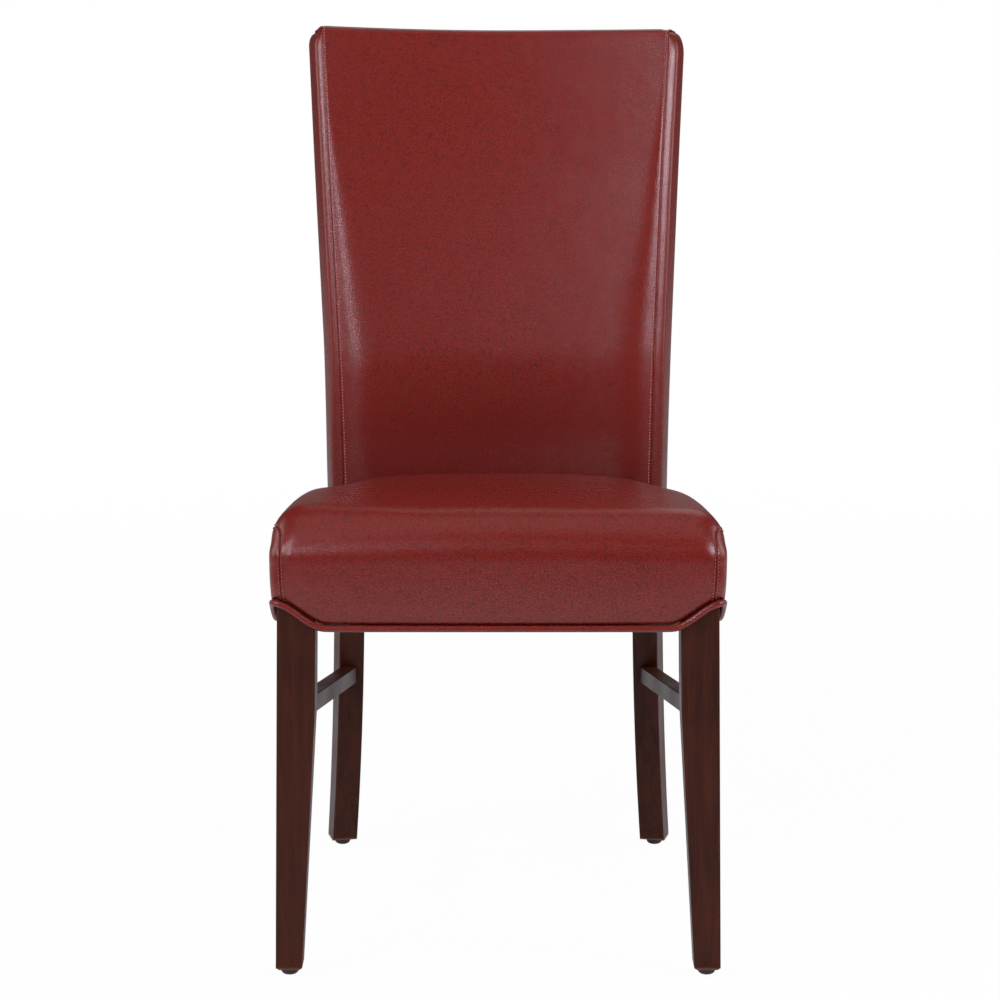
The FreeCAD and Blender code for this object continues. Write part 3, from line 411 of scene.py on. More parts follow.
def seat_profile():
    """Stations up the front and back along the top, in the middle plane. Each one has a
    depth, a height, the outward direction in depth and height, the crown, the corner
    radius, how much of the corner the seam leaves to the top piece, the stretch that it
    belongs to, and its part of that stretch."""
    seat = seat_sizes()
    nose = seat.nose_radius
    nose_low = nose_start()
    full_corner = seat.corner_radius + 0.009
    full_bulge_at = 0.75
    stations = []
    for part in steps(0.0, 1.0, 16):
        bulge = 1 - max(1 - part / full_bulge_at, 0.0) ** 2
        corner = mix(seat.corner_radius, full_corner, ease(part))
        stations.append(Station(-mix(seat.hem_front, seat.front_bulge, bulge),
                                mix(HEM, nose_low, part), -1.0, 0.0, seat.hem_crown, corner,
                                0.0, "front", part))
    for part in steps(0.0, 1.0, 14)[1:]:
        turn = math.pi / 2 * part
        blend = ease(part)
        early = ease(part / 0.6)
        late = ease((part - 0.4) / 0.6)
        crown = mix(mix(seat.hem_crown, seat.front_crown, early), seat.crown, blend)
        corner = mix(mix(full_corner, seat.nose_corner, early), seat.shoulder_radius, blend)
        stations.append(Station(-seat.front_bulge + nose - nose * math.cos(turn),
                                nose_low + nose * math.sin(turn), -math.cos(turn),
                                math.sin(turn), crown, corner, late, "nose", part))
    for kind, count in (("top", 56), ("roll", 6)):
        for part in steps(0.0, 1.0, count)[1:]:
            blend = ease(part) if kind == "top" else 1.0
            corner = mix(seat.shoulder_radius, seat.rear_radius, blend)
            stations.append(Station(nose - seat.front_bulge, 0.0, 0.0, 1.0, seat.crown, corner,
                                    1.0, kind, part))
    return stations


def seam_turn(station):
    """The turn round the corner at which the seam lies."""
    seat = seat_sizes()
    away = mix(seat.corner_seam, seat.side_seam, station.blend)
    return math.asin(clamp(1 - away / station.radius))


def shoulder_swell(x, depth):
    """The shoulders are padded full, and the left one runs further back. Behind them the
    edges fall."""
    seat = seat_sizes()
    left_end, right_end = 0.103, 0.035
    front_in, front_run, rear_run = 0.025, 0.085, 0.23
    fall_start, fall_run = 0.16, 0.14
    side_start, side_run, edge_start, edge_run = 0.25, 0.6, 0.70, 0.25
    lift, end, drop = ((seat.left_lift, left_end, seat.left_drop) if x < 0
                       else (seat.right_lift, right_end, seat.right_drop))
    across = abs(x) / SEAT_HALF_WIDTH
    side = ease((across - side_start) / side_run)
    edge = ease((across - edge_start) / edge_run)
    rise = lift * ease((depth + front_in) / front_run) * (1 - ease((depth - end) / rear_run))
    return side * rise - edge * drop * ease((depth - fall_start) / fall_run)


# The folds beside the back: place across, depth, width across and height of each.
FOLDS = ((-0.150, 0.398, 0.020, 0.0011), (-0.118, 0.404, 0.026, 0.0008),
         (-0.168, 0.372, 0.018, 0.0006), (0.158, 0.400, 0.024, 0.0006))


def crease(x, depth):
    """Small folds of slack leather beside the back, each with a hollow behind it."""
    fold_depth, slant, hollow_after, hollow_part = 0.0045, 0.10, 1.6, 0.6
    height = 0.0
    for place_x, place_depth, width, size in FOLDS:
        along = (x - place_x) / width
        off = (depth - place_depth - slant * (x - place_x)) / fold_depth
        ridge = math.exp(-off * off) - hollow_part * math.exp(-(off - hollow_after) ** 2)
        height += size * math.exp(-along * along) * ridge
    return height


def seat_outward(station, sign, turn):
    out = math.cos(turn or 0.0)
    return Vector((sign * math.sin(turn or 0.0), station.out_depth * out, station.out_z * out))


def seat_point(station, x, turn, inset=0.0):
    """A point of the seat's outside. Without a turn it lies at x on the crowned face, and
    with one it lies round the corner's radius, on the side of x."""
    seat = seat_sizes()
    depth, z, crown, radius = station.depth, station.z, station.crown, station.radius
    part = station.part
    face_half = SEAT_HALF_WIDTH - radius
    rear_depth, behind_slope = 0.41, 0.016
    power, rear_power = 2.0, 3.4
    if station.kind in ("top", "roll"):
        run = part if station.kind == "top" else 1.0
        power = mix(power, rear_power, ease(run))
        crown += seat.rear_side_drop * ease((run - 0.3) / 0.7)
    sign = -1.0 if x < 0 else 1.0
    if turn is None:
        sunk = crown * abs(x / face_half) ** power
        across = x
    else:
        start = math.atan(power * crown / face_half)
        reached = max(turn, start)
        sunk = crown + radius * (math.cos(start) - math.cos(reached))
        across = sign * (face_half + radius * (math.sin(reached) - math.sin(start)) /
                         (1 - math.sin(start)))
    if station.kind == "front":
        low = hem_height(across, depth + sunk)
        z = mix(low, nose_start(), part)
        sunk += hem_tuck(z - low)
    elif station.kind == "nose":
        z += shoulder_swell(across, depth) * ease(part)
    else:
        roll = seat.rear_roll
        top = seat.shoulder_height + seat.crown
        wide = across * half_width(rear_depth) / SEAT_HALF_WIDTH
        end = back_front_depth(wide, seat.shoulder_height - shoulder_fall(1.0))
        if station.kind == "top":
            depth = mix(depth, end - roll, part)
            z = top - shoulder_fall(depth) + shoulder_swell(across, depth)
            if turn is None:
                z += crease(across * half_width(depth) / SEAT_HALF_WIDTH, depth)
        else:
            curve = min(part * 2, 1.0) * math.pi / 2
            depth = end - roll + roll * math.sin(curve)
            behind = behind_slope * max(part - 0.5, 0.0)
            z = top - shoulder_fall(end) - roll * (1 - math.cos(curve)) - behind
    place = seat_warp(across, depth - station.out_depth * sunk, z - station.out_z * sunk)
    return place - seat_outward(station, sign, turn) * inset


def corner_row(station, sign, first, last):
    """Places round a side's corner between two turns, rolled in beside the seam."""
    reach, deep = 0.0026, 0.0007
    seam = seam_turn(station)
    row = []
    for turn in steps(first, last, 10):
        near = clamp(1 - abs(turn - seam) * station.radius / reach)
        outward = seat_outward(station, sign, turn)
        row.append(seat_point(station, sign, turn) - outward * deep * near * near)
    return row


def seat_top_grid():
    """The one piece of leather over the front and the top, from seam to seam."""
    rows = []
    for station in seat_profile():
        face_half = SEAT_HALF_WIDTH - station.radius
        left, right = (corner_row(station, sign, 0.0, seam_turn(station))[1:]
                       for sign in (-1.0, 1.0))
        middle = [seat_point(station, x, None) for x in steps(-face_half, face_half, 84)]
        rows.append(left[::-1] + middle + right)
    return rows


def side_column(top, depth, count):
    """Places down the flat side, from the hem up to a place on the corner's edge."""
    low = hem_height(top.x, depth)
    full = top.x * SEAT_HALF_WIDTH / half_width(depth)
    sign = -1.0 if full < 0 else 1.0
    column = []
    for z in steps(low, top.z, count)[:-1]:
        place = seat_warp(full, depth, z)
        column.append(Vector((place.x - sign * hem_tuck(z - low), place.y, z)))
    return column + [top]


def seat_side_grids(sign):
    """The side panel: the rest of the corner beyond the seam, and the flat side, whose rear
    end is rounded in beside the back."""
    profile = seat_profile()
    strip = [corner_row(station, sign, seam_turn(station), math.pi / 2) for station in profile]
    edge = [row[-1] for row in strip]
    count = sum(1 for station in profile if station.kind == "front") - 1
    columns = [edge[:count + 1]]
    columns += [side_column(top, top.y - LEG_FRONT, count) for top in edge[count + 1:]]
    rounding, past_post, above_rail = 0.0067, 0.0020, 0.013
    first = edge[-1].y - LEG_FRONT
    last = back_sizes().post_depth_place + past_post
    height = RAIL_TOP + above_rail
    for turn in steps(0.0, math.pi / 2, 8)[1:]:
        depth = mix(first, last, math.sin(turn))
        width = half_width(depth) - rounding * (1 - math.cos(turn))
        columns.append(side_column(to_place(sign * width, depth, height), depth, count))
    return [strip, columns] if sign > 0 else [flipped(strip), columns[::-1]]


# The back's form

def axis_depth():
    back = back_sizes()
    return back.post_depth_place - back.arc_radius * math.cos(back.post_angle)


def polar(radius, turn, z, inward=0.0):
    """A place at a radius and an angle about the back's upright axis, with a depth in place
    of its y. Inward moves it squarely off the radial line, towards the middle plane."""
    sign = -1.0 if turn < 0 else 1.0
    size = abs(turn)
    x = radius * math.sin(size) - inward * math.cos(size)
    depth = axis_depth() + radius * math.cos(size) + inward * math.sin(size)
    return Vector((sign * x, depth, z))


def setback(z):
    """How far the posts' front faces lie behind their foremost line."""
    back = back_sizes()
    run = max(z - back.bend_height, 0.0)
    straight = back.bend_radius * math.sin(back.rake)
    if run < straight:
        return back.bend_radius - math.sqrt(back.bend_radius ** 2 - run * run)
    start = back.bend_radius * (1 - math.cos(back.rake))
    return start + (run - straight) * math.tan(back.rake)


def frame_front(z):
    return back_sizes().arc_radius + setback(z)


def frame_rear(z):
    back = back_sizes()
    straight = back.bend_height + back.bend_radius * math.sin(back.rake)
    part = clamp((z - straight) / (POST_TOP - straight))
    return frame_front(z) + mix(back.post_depth, back.post_top_depth, part)


def front_radius(z):
    back = back_sizes()
    curve_start, curve_run = 0.80, 0.20
    curve = back.top_curve * ease((z - curve_start) / curve_run)
    return frame_front(z) - back.front_padding + curve


def rear_radius(z):
    return frame_rear(z) + back_sizes().rear_padding


def rear_corner_place():
    back = back_sizes()
    radius = back.arc_radius + back.post_depth
    return radius * math.sin(back.side_angle), axis_depth() + radius * math.cos(back.side_angle)


def top_rise(x):
    """The lift of the top edge's corners, and the dip in its middle."""
    back = back_sizes()
    full, dip, rise_power = 0.205, 0.0022, 1.7
    corner = back.left_corner_rise if x < 0 else back.right_corner_rise
    return corner * clamp(abs(x) / full) ** rise_power - dip


def back_warp(place):
    """Lifts the corners of the top edge, rounds them down at their ends, and leans the back
    a little to the left."""
    back = back_sizes()
    lean_run, lift_start, fall_start = 0.50, 0.90, 0.955
    left_start, left_run, right_start, right_run = 0.2035, 0.013, 0.195, 0.006
    up = clamp((place.z - lift_start) / (CHAIR_TOP - lift_start))
    near = clamp((place.z - fall_start) / (CHAIR_TOP - fall_start))
    lean = back.lean * ease((place.z - HEM) / lean_run)
    if place.x < 0:
        fall = back.left_corner_fall * ease((-place.x - left_start) / left_run)
    else:
        fall = back.right_corner_fall * ease((place.x - right_start) / right_run)
    return to_place(place.x - lean, place.y, place.z + top_rise(place.x) * up * up - fall * near)


def back_place(radius, turn, z, inward=0.0):
    return back_warp(polar(radius, turn, z, inward))


def seam_at(turn):
    """Angle of the seam on the side of a turn."""
    back = back_sizes()
    return back.seam_angle if turn < 0 else back.right_seam_angle


def from_seam(turn, radius):
    """The distance of a turn from the seam on its side."""
    return (seam_at(turn) - abs(turn)) * radius


def puff(away, z):
    """How far the front panel is drawn back near its side seams, by the roll of padding
    beside them. The roll is narrow near the top and widens downwards."""
    back = back_sizes()
    narrowest, widen_start, widen_run, slope_run = 0.007, 0.04, 0.38, 0.16
    seam_reach, seam_depth = 0.0018, 0.0004
    below = max(CHAIR_TOP - z, 0.0)
    width = mix(narrowest, back.roll_width, ease((below - widen_start) / widen_run))
    slope = math.tan(back.roll_slope) * ease(below / slope_run)
    rest = clamp(1 - away / width)
    near = clamp(1 - away / seam_reach)
    return slope * width / 3 * rest ** 3 + seam_depth * near * near


def swell(turn, z):
    """How far the padding swells forward across the front panel, low down."""
    most, at_seam = 0.0155, 0.45
    rise_start, rise_run, fade_start, fade_run = 0.500, 0.120, 0.61, 0.37
    across = 1 - (turn / seam_at(turn)) ** 2
    rise = ease((z - rise_start) / rise_run)
    fade = 1 - ease((z - fade_start) / fade_run)
    return most * mix(at_seam, 1.0, across) * rise * fade


def panel_radius(turn, z):
    """Radius of the padded front panel at a place."""
    front = front_radius(z)
    return front + puff(from_seam(turn, front), z) - swell(turn, z)


def crest_rows():
    """Radius and height pairs over the top, from the front edge to the rear seam."""
    back = back_sizes()
    front, rear = back.top_front, back.top_rear
    crown = 0.0012
    rows = []
    for turn in steps(0.0, math.pi / 2, 8)[1:]:
        z = CHAIR_TOP - front + front * math.sin(turn)
        rows.append((front_radius(z) + front - front * math.cos(turn), z))
    start = front_radius(CHAIR_TOP) + front
    end = rear_radius(CHAIR_TOP) - rear
    for part in steps(0.0, 1.0, 6)[1:]:
        rows.append((mix(start, end, part), CHAIR_TOP + crown * (1 - (2 * part - 1) ** 2)))
    for turn in steps(0.0, math.pi / 2, 6)[1:]:
        z = CHAIR_TOP - rear + rear * math.cos(turn)
        rows.append((rear_radius(z) - rear + rear * math.sin(turn), z))
    for z in steps(CHAIR_TOP - rear, CHAIR_TOP - back.top_seam_drop, 4)[1:]:
        rows.append((rear_radius(z), z))
    return rows


def crest_place(row, turn, sunk, along):
    """A place over the top, sunk in from the outline. Along runs from 0 at the front, where
    inwards is back, by way of down, to 1 at the rear, where inwards is forward."""
    radius, z = row
    way = math.pi * along
    return back_place(radius + sunk * math.cos(way), turn, z - sunk * math.sin(way))


def panel_turns(radius):
    """Angles across a panel, closer together near its seams."""
    near = (0.0, 0.0008, 0.0016, 0.0024, 0.0034, 0.005, 0.008, 0.012, 0.017, 0.023, 0.030,
            0.038, 0.047)
    right = [seam_at(1.0) - away / radius for away in near[::-1]]
    left = [away / radius - seam_at(-1.0) for away in near]
    return left + steps(left[-1], right[0], 44)[1:-1] + right


def back_front_grid():
    """The front panel, up and over the top to the rear seam."""
    low = RAIL_TOP + 0.005
    rows = [[back_place(panel_radius(turn, z), turn, z) for turn in panel_turns(front_radius(z))]
            for z in steps(low, CHAIR_TOP - back_sizes().top_front, 74)]
    over = crest_rows()
    for index, row in enumerate(over):
        along = index / (len(over) - 1)
        rows.append([crest_place(row, turn, puff(from_seam(turn, row[0]), CHAIR_TOP), along)
                     for turn in panel_turns(row[0])])
    return rows


def edge_rounding(z, radius):
    """How far an edge of the top, rounded to a radius, lies in at a height."""
    over = clamp((z - CHAIR_TOP + radius) / radius)
    return radius * (1 - math.sqrt(1 - over * over))


def band_section(z, sign, crest=1.0):
    """The band's outline at a height, from the front seam round the side to the rear. Over
    the crest it closes in on the front panel's edge."""
    back = back_sizes()
    sliver, seam_step, side_bulge, rear_step, close_part = 0.0004, 0.0003, 0.0008, 0.0010, 0.1
    swell_start, swell_run = 0.46, 0.18
    left_swell, right_swell = 0.0036, 0.0010
    seam = seam_at(sign)
    front = panel_radius(sign * seam, z) - seam_step + edge_rounding(z, back.top_front)
    rear = rear_radius(z) - edge_rounding(z, back.top_rear)
    seam_in = front_radius(z) * (back.side_angle - seam)
    bend = front + seam_in * math.tan(back.band_tilt)
    end = bend + back.front_corner
    last = rear - back.rear_corner
    low_swell = left_swell if sign < 0 else right_swell
    low_swell *= 1 - ease((z - swell_start) / swell_run)
    points = []
    for t in steps(0.0, 1.0, 14):
        radius = front * (1 - t) ** 2 + bend * 2 * t * (1 - t) + end * t * t
        points.append((radius + sliver * clamp(1 - t * 7) ** 2,
                       seam_in * (1 - t) ** 2 - low_swell * t))
    for part in steps(0.0, 1.0, 8)[1:]:
        points.append((mix(end, last, part), -side_bulge * math.sin(math.pi * part) - low_swell))
    for turn in steps(0.0, math.pi / 2, 8)[1:]:
        points.append((last + back.rear_corner * math.sin(turn),
                       back.rear_corner * (1 - math.cos(turn)) - low_swell * math.cos(turn)))
    points.append((rear - rear_step, rear * (back.side_angle - seam)))
    edge = seam_in + sliver
    middle = mix(front, rear, 0.5)
    foremost = back.arc_radius + sliver if z < RAIL_TOP + 0.004 else 0.0
    spread = 1 - close_part + close_part * crest
    return [(max(mix(middle, radius, spread), foremost), edge - (edge - inward) * crest)
            for radius, inward in points]


def band_grid(sign):
    """A side band from the hem to its rounded top."""
    back = back_sizes()
    left_drop, right_drop, cap_step, cap_drop = 0.0042, 0.0022, 0.0004, 0.0009
    drop, crest = (left_drop, back.left_crest) if sign < 0 else (right_drop, back.right_crest)
    straight_top = CHAIR_TOP - drop - crest
    side_x, side_depth = math.sin(back.side_angle), math.cos(back.side_angle)
    rows = []
    for part in steps(0.0, 1.0, 80):
        row = []
        guess = mix(HEM + hem_sizes().rear_rise, straight_top, part)
        for index, (radius, _) in enumerate(band_section(guess, sign)):
            low = HEM + rear_rise(radius * side_x, axis_depth() + radius * side_depth)
            z = mix(low, straight_top, part)
            row.append((*band_section(z, sign)[index], z))
        rows.append(row)
    for turn in steps(0.0, math.pi / 2, 12)[1:]:
        z = straight_top + crest * math.sin(turn)
        rows.append([(*pair, z) for pair in band_section(z, sign, math.cos(turn))])
    rows.append([(radius, inward + cap_step, CHAIR_TOP - cap_drop)
                 for radius, inward, _ in rows[-1]])
    grid = [[back_place(radius, sign * back.side_angle, z, inward) for radius, inward, z in row]
            for row in rows]
    return grid if sign < 0 else flipped(grid)


def back_rear_grid():
    """The rear panel, from the hem to the seam below the top."""
    seam_reach, seam_depth = 0.0034, 0.0012
    top = CHAIR_TOP - back_sizes().top_seam_drop
    hem_radius = rear_radius(HEM)
    rows = []
    for part in steps(0.0, 1.0, 70):
        row = []
        for turn in panel_turns(hem_radius):
            guess = polar(hem_radius, turn, 0.0)
            z = mix(HEM + rear_rise(guess.x, guess.y), top, part)
            near = clamp(1 - min(from_seam(turn, rear_radius(z)), top - z) / seam_reach)
            row.append(back_place(rear_radius(z) - seam_depth * near * near, turn, z))
        rows.append(row)
    return flipped(rows)


# Piping along the hem

def piping_path():
    """The middle of the piping, all round the hem."""
    hem = hem_sizes()
    seat = seat_sizes()
    back = back_sizes()
    clear, corner, aside = 0.0042, 0.0016, -0.0010
    rear_corner, rear_turn_in, rear_clear = 0.0045, 0.0055, 0.0002
    drawn_part, sunk_part = 0.6, 0.93
    leg_depth, leg_step = 0.047, 0.0022
    leg = box_high("front_leg_right").x - 0.0059
    bend = clear + corner
    right = [(x, mix(-seat.hem_front, -clear, (x / leg) ** 2))
             for x in steps(0.0, leg - corner, 48)[:-1]]
    right += [(leg - corner + bend * math.sin(turn), corner - bend * math.cos(turn))
              for turn in steps(0.0, math.pi / 2, 8)]
    side_x = right[-1][0]
    for depth in steps(0.006, back.post_depth_place - 0.006, 56):
        edge = half_width(depth) - seat.hem_draw * drawn_part
        right.append((max(edge, side_x - leg_step if depth < leg_depth else 0.0), depth))
    post = back.arc_radius
    rear = rear_radius(HEM)
    places = [polar(radius, back.side_angle, 0.0, aside)
              for radius in steps(post + 0.002, post + back.post_depth - 0.003, 6)]
    places += [polar(rear - rear_corner + rear_corner * math.sin(turn), back.side_angle, 0.0,
                     rear_turn_in * (1 - math.cos(turn)) + aside)
               for turn in steps(0.0, math.pi / 2, 4)[1:]]
    places += [polar(rear + rear_clear, turn, 0.0)
               for turn in steps(seam_at(1.0) - 0.006, 0.0, 36)]
    right += [(place.x, place.y) for place in places]
    sunk = hem.piping / 2 * sunk_part
    points = [to_place(x, depth, hem_height(x, depth) - sunk) for x, depth in right]
    left = [Vector((-p.x, p.y, p.z)) for p in points[1:-1]]
    return points + left[::-1]


def smooth_loop(points, rounds):
    """Softens the small steps between the stretches of a closed path."""
    count = len(points)
    for _ in range(rounds):
        points = [points[i] * 0.5 + (points[i - 1] + points[(i + 1) % count]) * 0.25
                  for i in range(count)]
    return points


def resample_loop(points, spacing):
    """Points at an even spacing along a closed path."""
    path = points + [points[0]]
    total = sum((b - a).length for a, b in zip(path[:-1], path[1:]))
    count = round(total / spacing)
    gap = total / count
    result, travelled, target = [path[0].copy()], 0.0, gap
    for a, b in zip(path[:-1], path[1:]):
        span = (b - a).length
        while span > 0 and target <= travelled + span + 1e-9 and len(result) < count:
            result.append(a.lerp(b, (target - travelled) / span))
            target += gap
        travelled += span
    return result


def tube_grid(points, radius, sides):
    """A closed tube round a closed path."""
    rows = []
    count = len(points)
    for i, point in enumerate(points):
        along = (points[(i + 1) % count] - points[i - 1]).normalized()
        side = along.cross(Vector((0, 0, 1))).normalized()
        up = side.cross(along).normalized()
        turns = [2 * math.pi * (k % sides) / sides for k in range(sides + 1)]
        rows.append([point + side * (radius * math.cos(turn)) + up * (radius * math.sin(turn))
                     for turn in turns])
    return rows + [rows[0]]


# Sewing

# A stitch's rings: part of its length, lift and thickness in parts of the thread's radius.
RINGS = ((-0.5, -0.9, 0.5), (-0.36, 0.30, 0.9), (-0.12, 0.80, 1.0),
         (0.12, 0.80, 1.0), (0.36, 0.30, 0.9), (0.5, -0.9, 0.5))


def stitch_mesh(name, runs):
    """Short threads along runs of places, each with its outward direction."""
    sewing = sewing_sizes()
    verts, faces = [], []
    sides, flatness = 6, 1.15
    radius = sewing.thread / 2
    for middle, along, outward in (stitch for run in runs for stitch in run):
        side = along.cross(outward).normalized()
        start = len(verts)
        for reach, lift, thick in RINGS:
            centre = middle + along * (reach * sewing.stitch) + outward * (lift * radius)
            for k in range(sides):
                turn = 2 * math.pi * k / sides
                verts.append(centre + side * (radius * thick * math.cos(turn) * flatness) +
                             outward * (radius * thick * math.sin(turn)))
        for ring in range(len(RINGS) - 1):
            for k in range(sides):
                a = start + ring * sides + k
                b = start + ring * sides + (k + 1) % sides
                faces.append((a, b, b + sides, a + sides))
    return new_mesh(name, verts, faces)


def stitches_along(path):
    """Stitches at an even pitch along a path of places with their outward directions."""
    pitch = sewing_sizes().pitch
    run, target, travelled = [], pitch / 2, 0.0
    for (a, a_out), (b, b_out) in zip(path[:-1], path[1:]):
        span = (b - a).length
        while span > 0 and target <= travelled + span:
            part = (target - travelled) / span
            outward = a_out.lerp(b_out, part).normalized()
            run.append((a.lerp(b, part), (b - a).normalized(), outward))
            target += pitch
        travelled += span
    return run


def seat_seam_run(sign, away):
    """A path beside the seat's front corner seam."""
    path = []
    for station in seat_profile():
        if station.kind in ("front", "nose"):
            turn = seam_turn(station) + away / station.radius
            path.append((seat_point(station, sign, turn), seat_outward(station, sign, turn)))
    return path


def rear_way(turn):
    """The direction squarely out of the back's rear face."""
    return Vector((math.sin(turn), math.cos(turn), -math.tan(back_sizes().rake))).normalized()


def back_seam_run(sign, away):
    """A path on the front panel beside a side seam, up and over the top."""
    def turn_at(radius):
        return sign * (seam_at(sign) - away / radius)

    path = []
    seat_height = 0.455
    for z in steps(seat_height, CHAIR_TOP - back_sizes().top_front, 150):
        turn = turn_at(front_radius(z))
        path.append((back_place(panel_radius(turn, z), turn, z), -rear_way(turn)))
    over = crest_rows()
    for index, row in enumerate(over):
        along = (index + 1) / len(over)
        turn = turn_at(row[0])
        out = -math.cos(math.pi * along)
        way = Vector((math.sin(turn) * out, math.cos(turn) * out, math.sin(math.pi * along)))
        path.append((crest_place(row, turn, puff(away, CHAIR_TOP), along), way.normalized()))
    return path


def rear_seam_run(sign, away):
    """A path on the rear panel beside a side seam."""
    path = []
    above_hem = 0.030
    for z in steps(HEM + above_hem, CHAIR_TOP - back_sizes().top_seam_drop - away, 120):
        turn = sign * (seam_at(sign) - away / rear_radius(z))
        path.append((back_place(rear_radius(z), turn, z), rear_way(turn)))
    return path


def rear_top_run(away):
    """A path on the rear panel below its top seam."""
    z = CHAIR_TOP - back_sizes().top_seam_drop - away
    radius = rear_radius(z)
    return [(back_place(radius, turn, z), rear_way(turn))
            for turn in steps(away / radius - seam_at(-1.0), seam_at(1.0) - away / radius, 90)]


# Padding under the leather

PADDING_INSET = 0.0022


def closed_mesh(name, outer, inner):
    """A closed body between two grids of the same size."""
    high, wide = len(outer), len(outer[0])
    verts = [point for grid in (outer, inner) for row in grid for point in row]

    def number(row, column, layer):
        return (layer * high + row) * wide + column

    faces = []
    for layer in (0, 1):
        for i in range(high - 1):
            for k in range(wide - 1):
                faces.append((number(i, k, layer), number(i, k + 1, layer),
                              number(i + 1, k + 1, layer), number(i + 1, k, layer)))
    rim = [(0, k) for k in range(wide - 1)] + [(i, wide - 1) for i in range(high - 1)]
    rim += [(high - 1, k) for k in range(wide - 1, 0, -1)]
    rim += [(i, 0) for i in range(high - 1, 0, -1)]
    for a, b in zip(rim, rim[1:] + rim[:1]):
        faces.append((number(*a, 0), number(*b, 0), number(*b, 1), number(*a, 1)))
    return new_mesh(name, verts, faces)


def turn_outward(mesh, centre=None):
    """Makes all faces look the same way, and away from a centre where the mesh is open."""
    shape = bmesh.new()
    shape.from_mesh(mesh)
    bmesh.ops.recalc_face_normals(shape, faces=shape.faces[:])
    if centre is not None:
        away = sum(face.normal.dot(face.calc_center_median() - centre) * face.calc_area()
                   for face in shape.faces)
        if away < 0:
            bmesh.ops.reverse_faces(shape, faces=shape.faces[:])
    shape.to_mesh(mesh)
    shape.free()
    mesh.update()
    return mesh


def seat_pad_mesh():
    """The seat's foam: its crowned body over the webbing."""
    bottom = RAIL_TOP + 0.0065
    thinnest = 0.0005
    turns = steps(0.0, math.pi / 2, 8)[1:]
    outer, floor_rows = [], []
    for station in seat_profile():
        if station.kind == "front" and station.part < 1.0:
            continue
        face_half = SEAT_HALF_WIDTH - station.radius
        left, right = ([seat_point(station, sign, turn, PADDING_INSET) for turn in turns]
                       for sign in (-1.0, 1.0))
        middle = [seat_point(station, x, None, PADDING_INSET)
                  for x in steps(-face_half, face_half, 48)]
        row = left[::-1] + middle + right
        outer.append(row)
        floor_rows.append([Vector((place.x, place.y, min(bottom, place.z - thinnest)))
                           for place in row])
    return turn_outward(closed_mesh("seat_padding", outer, floor_rows))


def back_pad_mesh():
    """The back's foam: before the posts, over the top rail and thinly down the rear."""
    back = back_sizes()
    low = RAIL_TOP + 0.008
    off_seam, off_front, off_rear, off_leather = 0.002, 0.0012, 0.0008, 0.0020
    inner_top = POST_TOP + off_rear
    turns = steps(off_seam - seam_at(-1.0), seam_at(1.0) - off_seam, 60)
    outer, inner = [], []
    for part in steps(0.0, 1.0, 60):
        z = mix(low, CHAIR_TOP - back.top_front, part)
        outer.append([back_place(panel_radius(turn, z) + PADDING_INSET, turn, z) for turn in turns])
        z = mix(low, inner_top, part)
        inner.append([back_place(frame_front(z) - off_front, turn, z) for turn in turns])
    over = crest_rows()
    first, last = frame_front(inner_top) - off_front, frame_rear(inner_top) + off_rear
    for index, row in enumerate(over):
        along = (index + 1) / len(over)
        sunk = [puff(from_seam(turn, row[0]), CHAIR_TOP) + PADDING_INSET for turn in turns]
        outer.append([crest_place(row, turn, by, along) for turn, by in zip(turns, sunk)])
        inner.append([back_place(mix(first, last, along), turn, inner_top) for turn in turns])
    for part in steps(0.0, 1.0, 50)[1:]:
        z = mix(CHAIR_TOP - back.top_seam_drop, low, part)
        outer.append([back_place(rear_radius(z) - off_leather, turn, z) for turn in turns])
        z = mix(inner_top, low, part)
        inner.append([back_place(frame_rear(z) + off_rear, turn, z) for turn in turns])
    return turn_outward(closed_mesh("back_padding", outer, inner))


def dust_cover_mesh():
    """The thin cloth under the rails, notched round the legs and slightly slack."""
    low, high = box_low("dust_cover"), box_high("dust_cover")
    back = back_sizes()
    level = (low.z + high.z) / 2
    slack, post_clear, leg_clear, side_clear = 0.0022, 0.0065, 0.0005, 0.0002
    notch_clear, narrow_clear = 0.006, 0.0042
    notch = box_high("front_leg_right").y - LEG_FRONT + notch_clear
    leg_inner = box_low("front_leg_right").x - leg_clear
    wide = high.x - side_clear
    narrow = back.arc_radius * math.sin(back.post_angle) - narrow_clear
    radius = high.y - LEG_FRONT - axis_depth()
    post_x = box_low("rear_post_right").x - post_clear
    post_depth = back.post_depth_place - post_clear
    front = [[to_place(x, depth, level) for x in steps(-leg_inner, leg_inner, 40)]
             for depth in steps(low.y - LEG_FRONT, notch, 4)]
    middle = [[to_place(mix(-1, 1, u) * mix(wide, narrow, v), mix(notch, post_depth, v),
                        level - slack * math.sin(math.pi * v) * math.sin(math.pi * u))
               for u in steps(0.0, 1.0, 48)] for v in steps(0.0, 1.0, 40)]
    rear = [[to_place(x, mix(post_depth, axis_depth() + math.sqrt(radius ** 2 - x ** 2), v), level)
             for x in steps(-post_x, post_x, 40)] for v in steps(0.0, 1.0, 5)]
    return mesh_of("dust_cloth", [front, middle, rear])


# Finishes

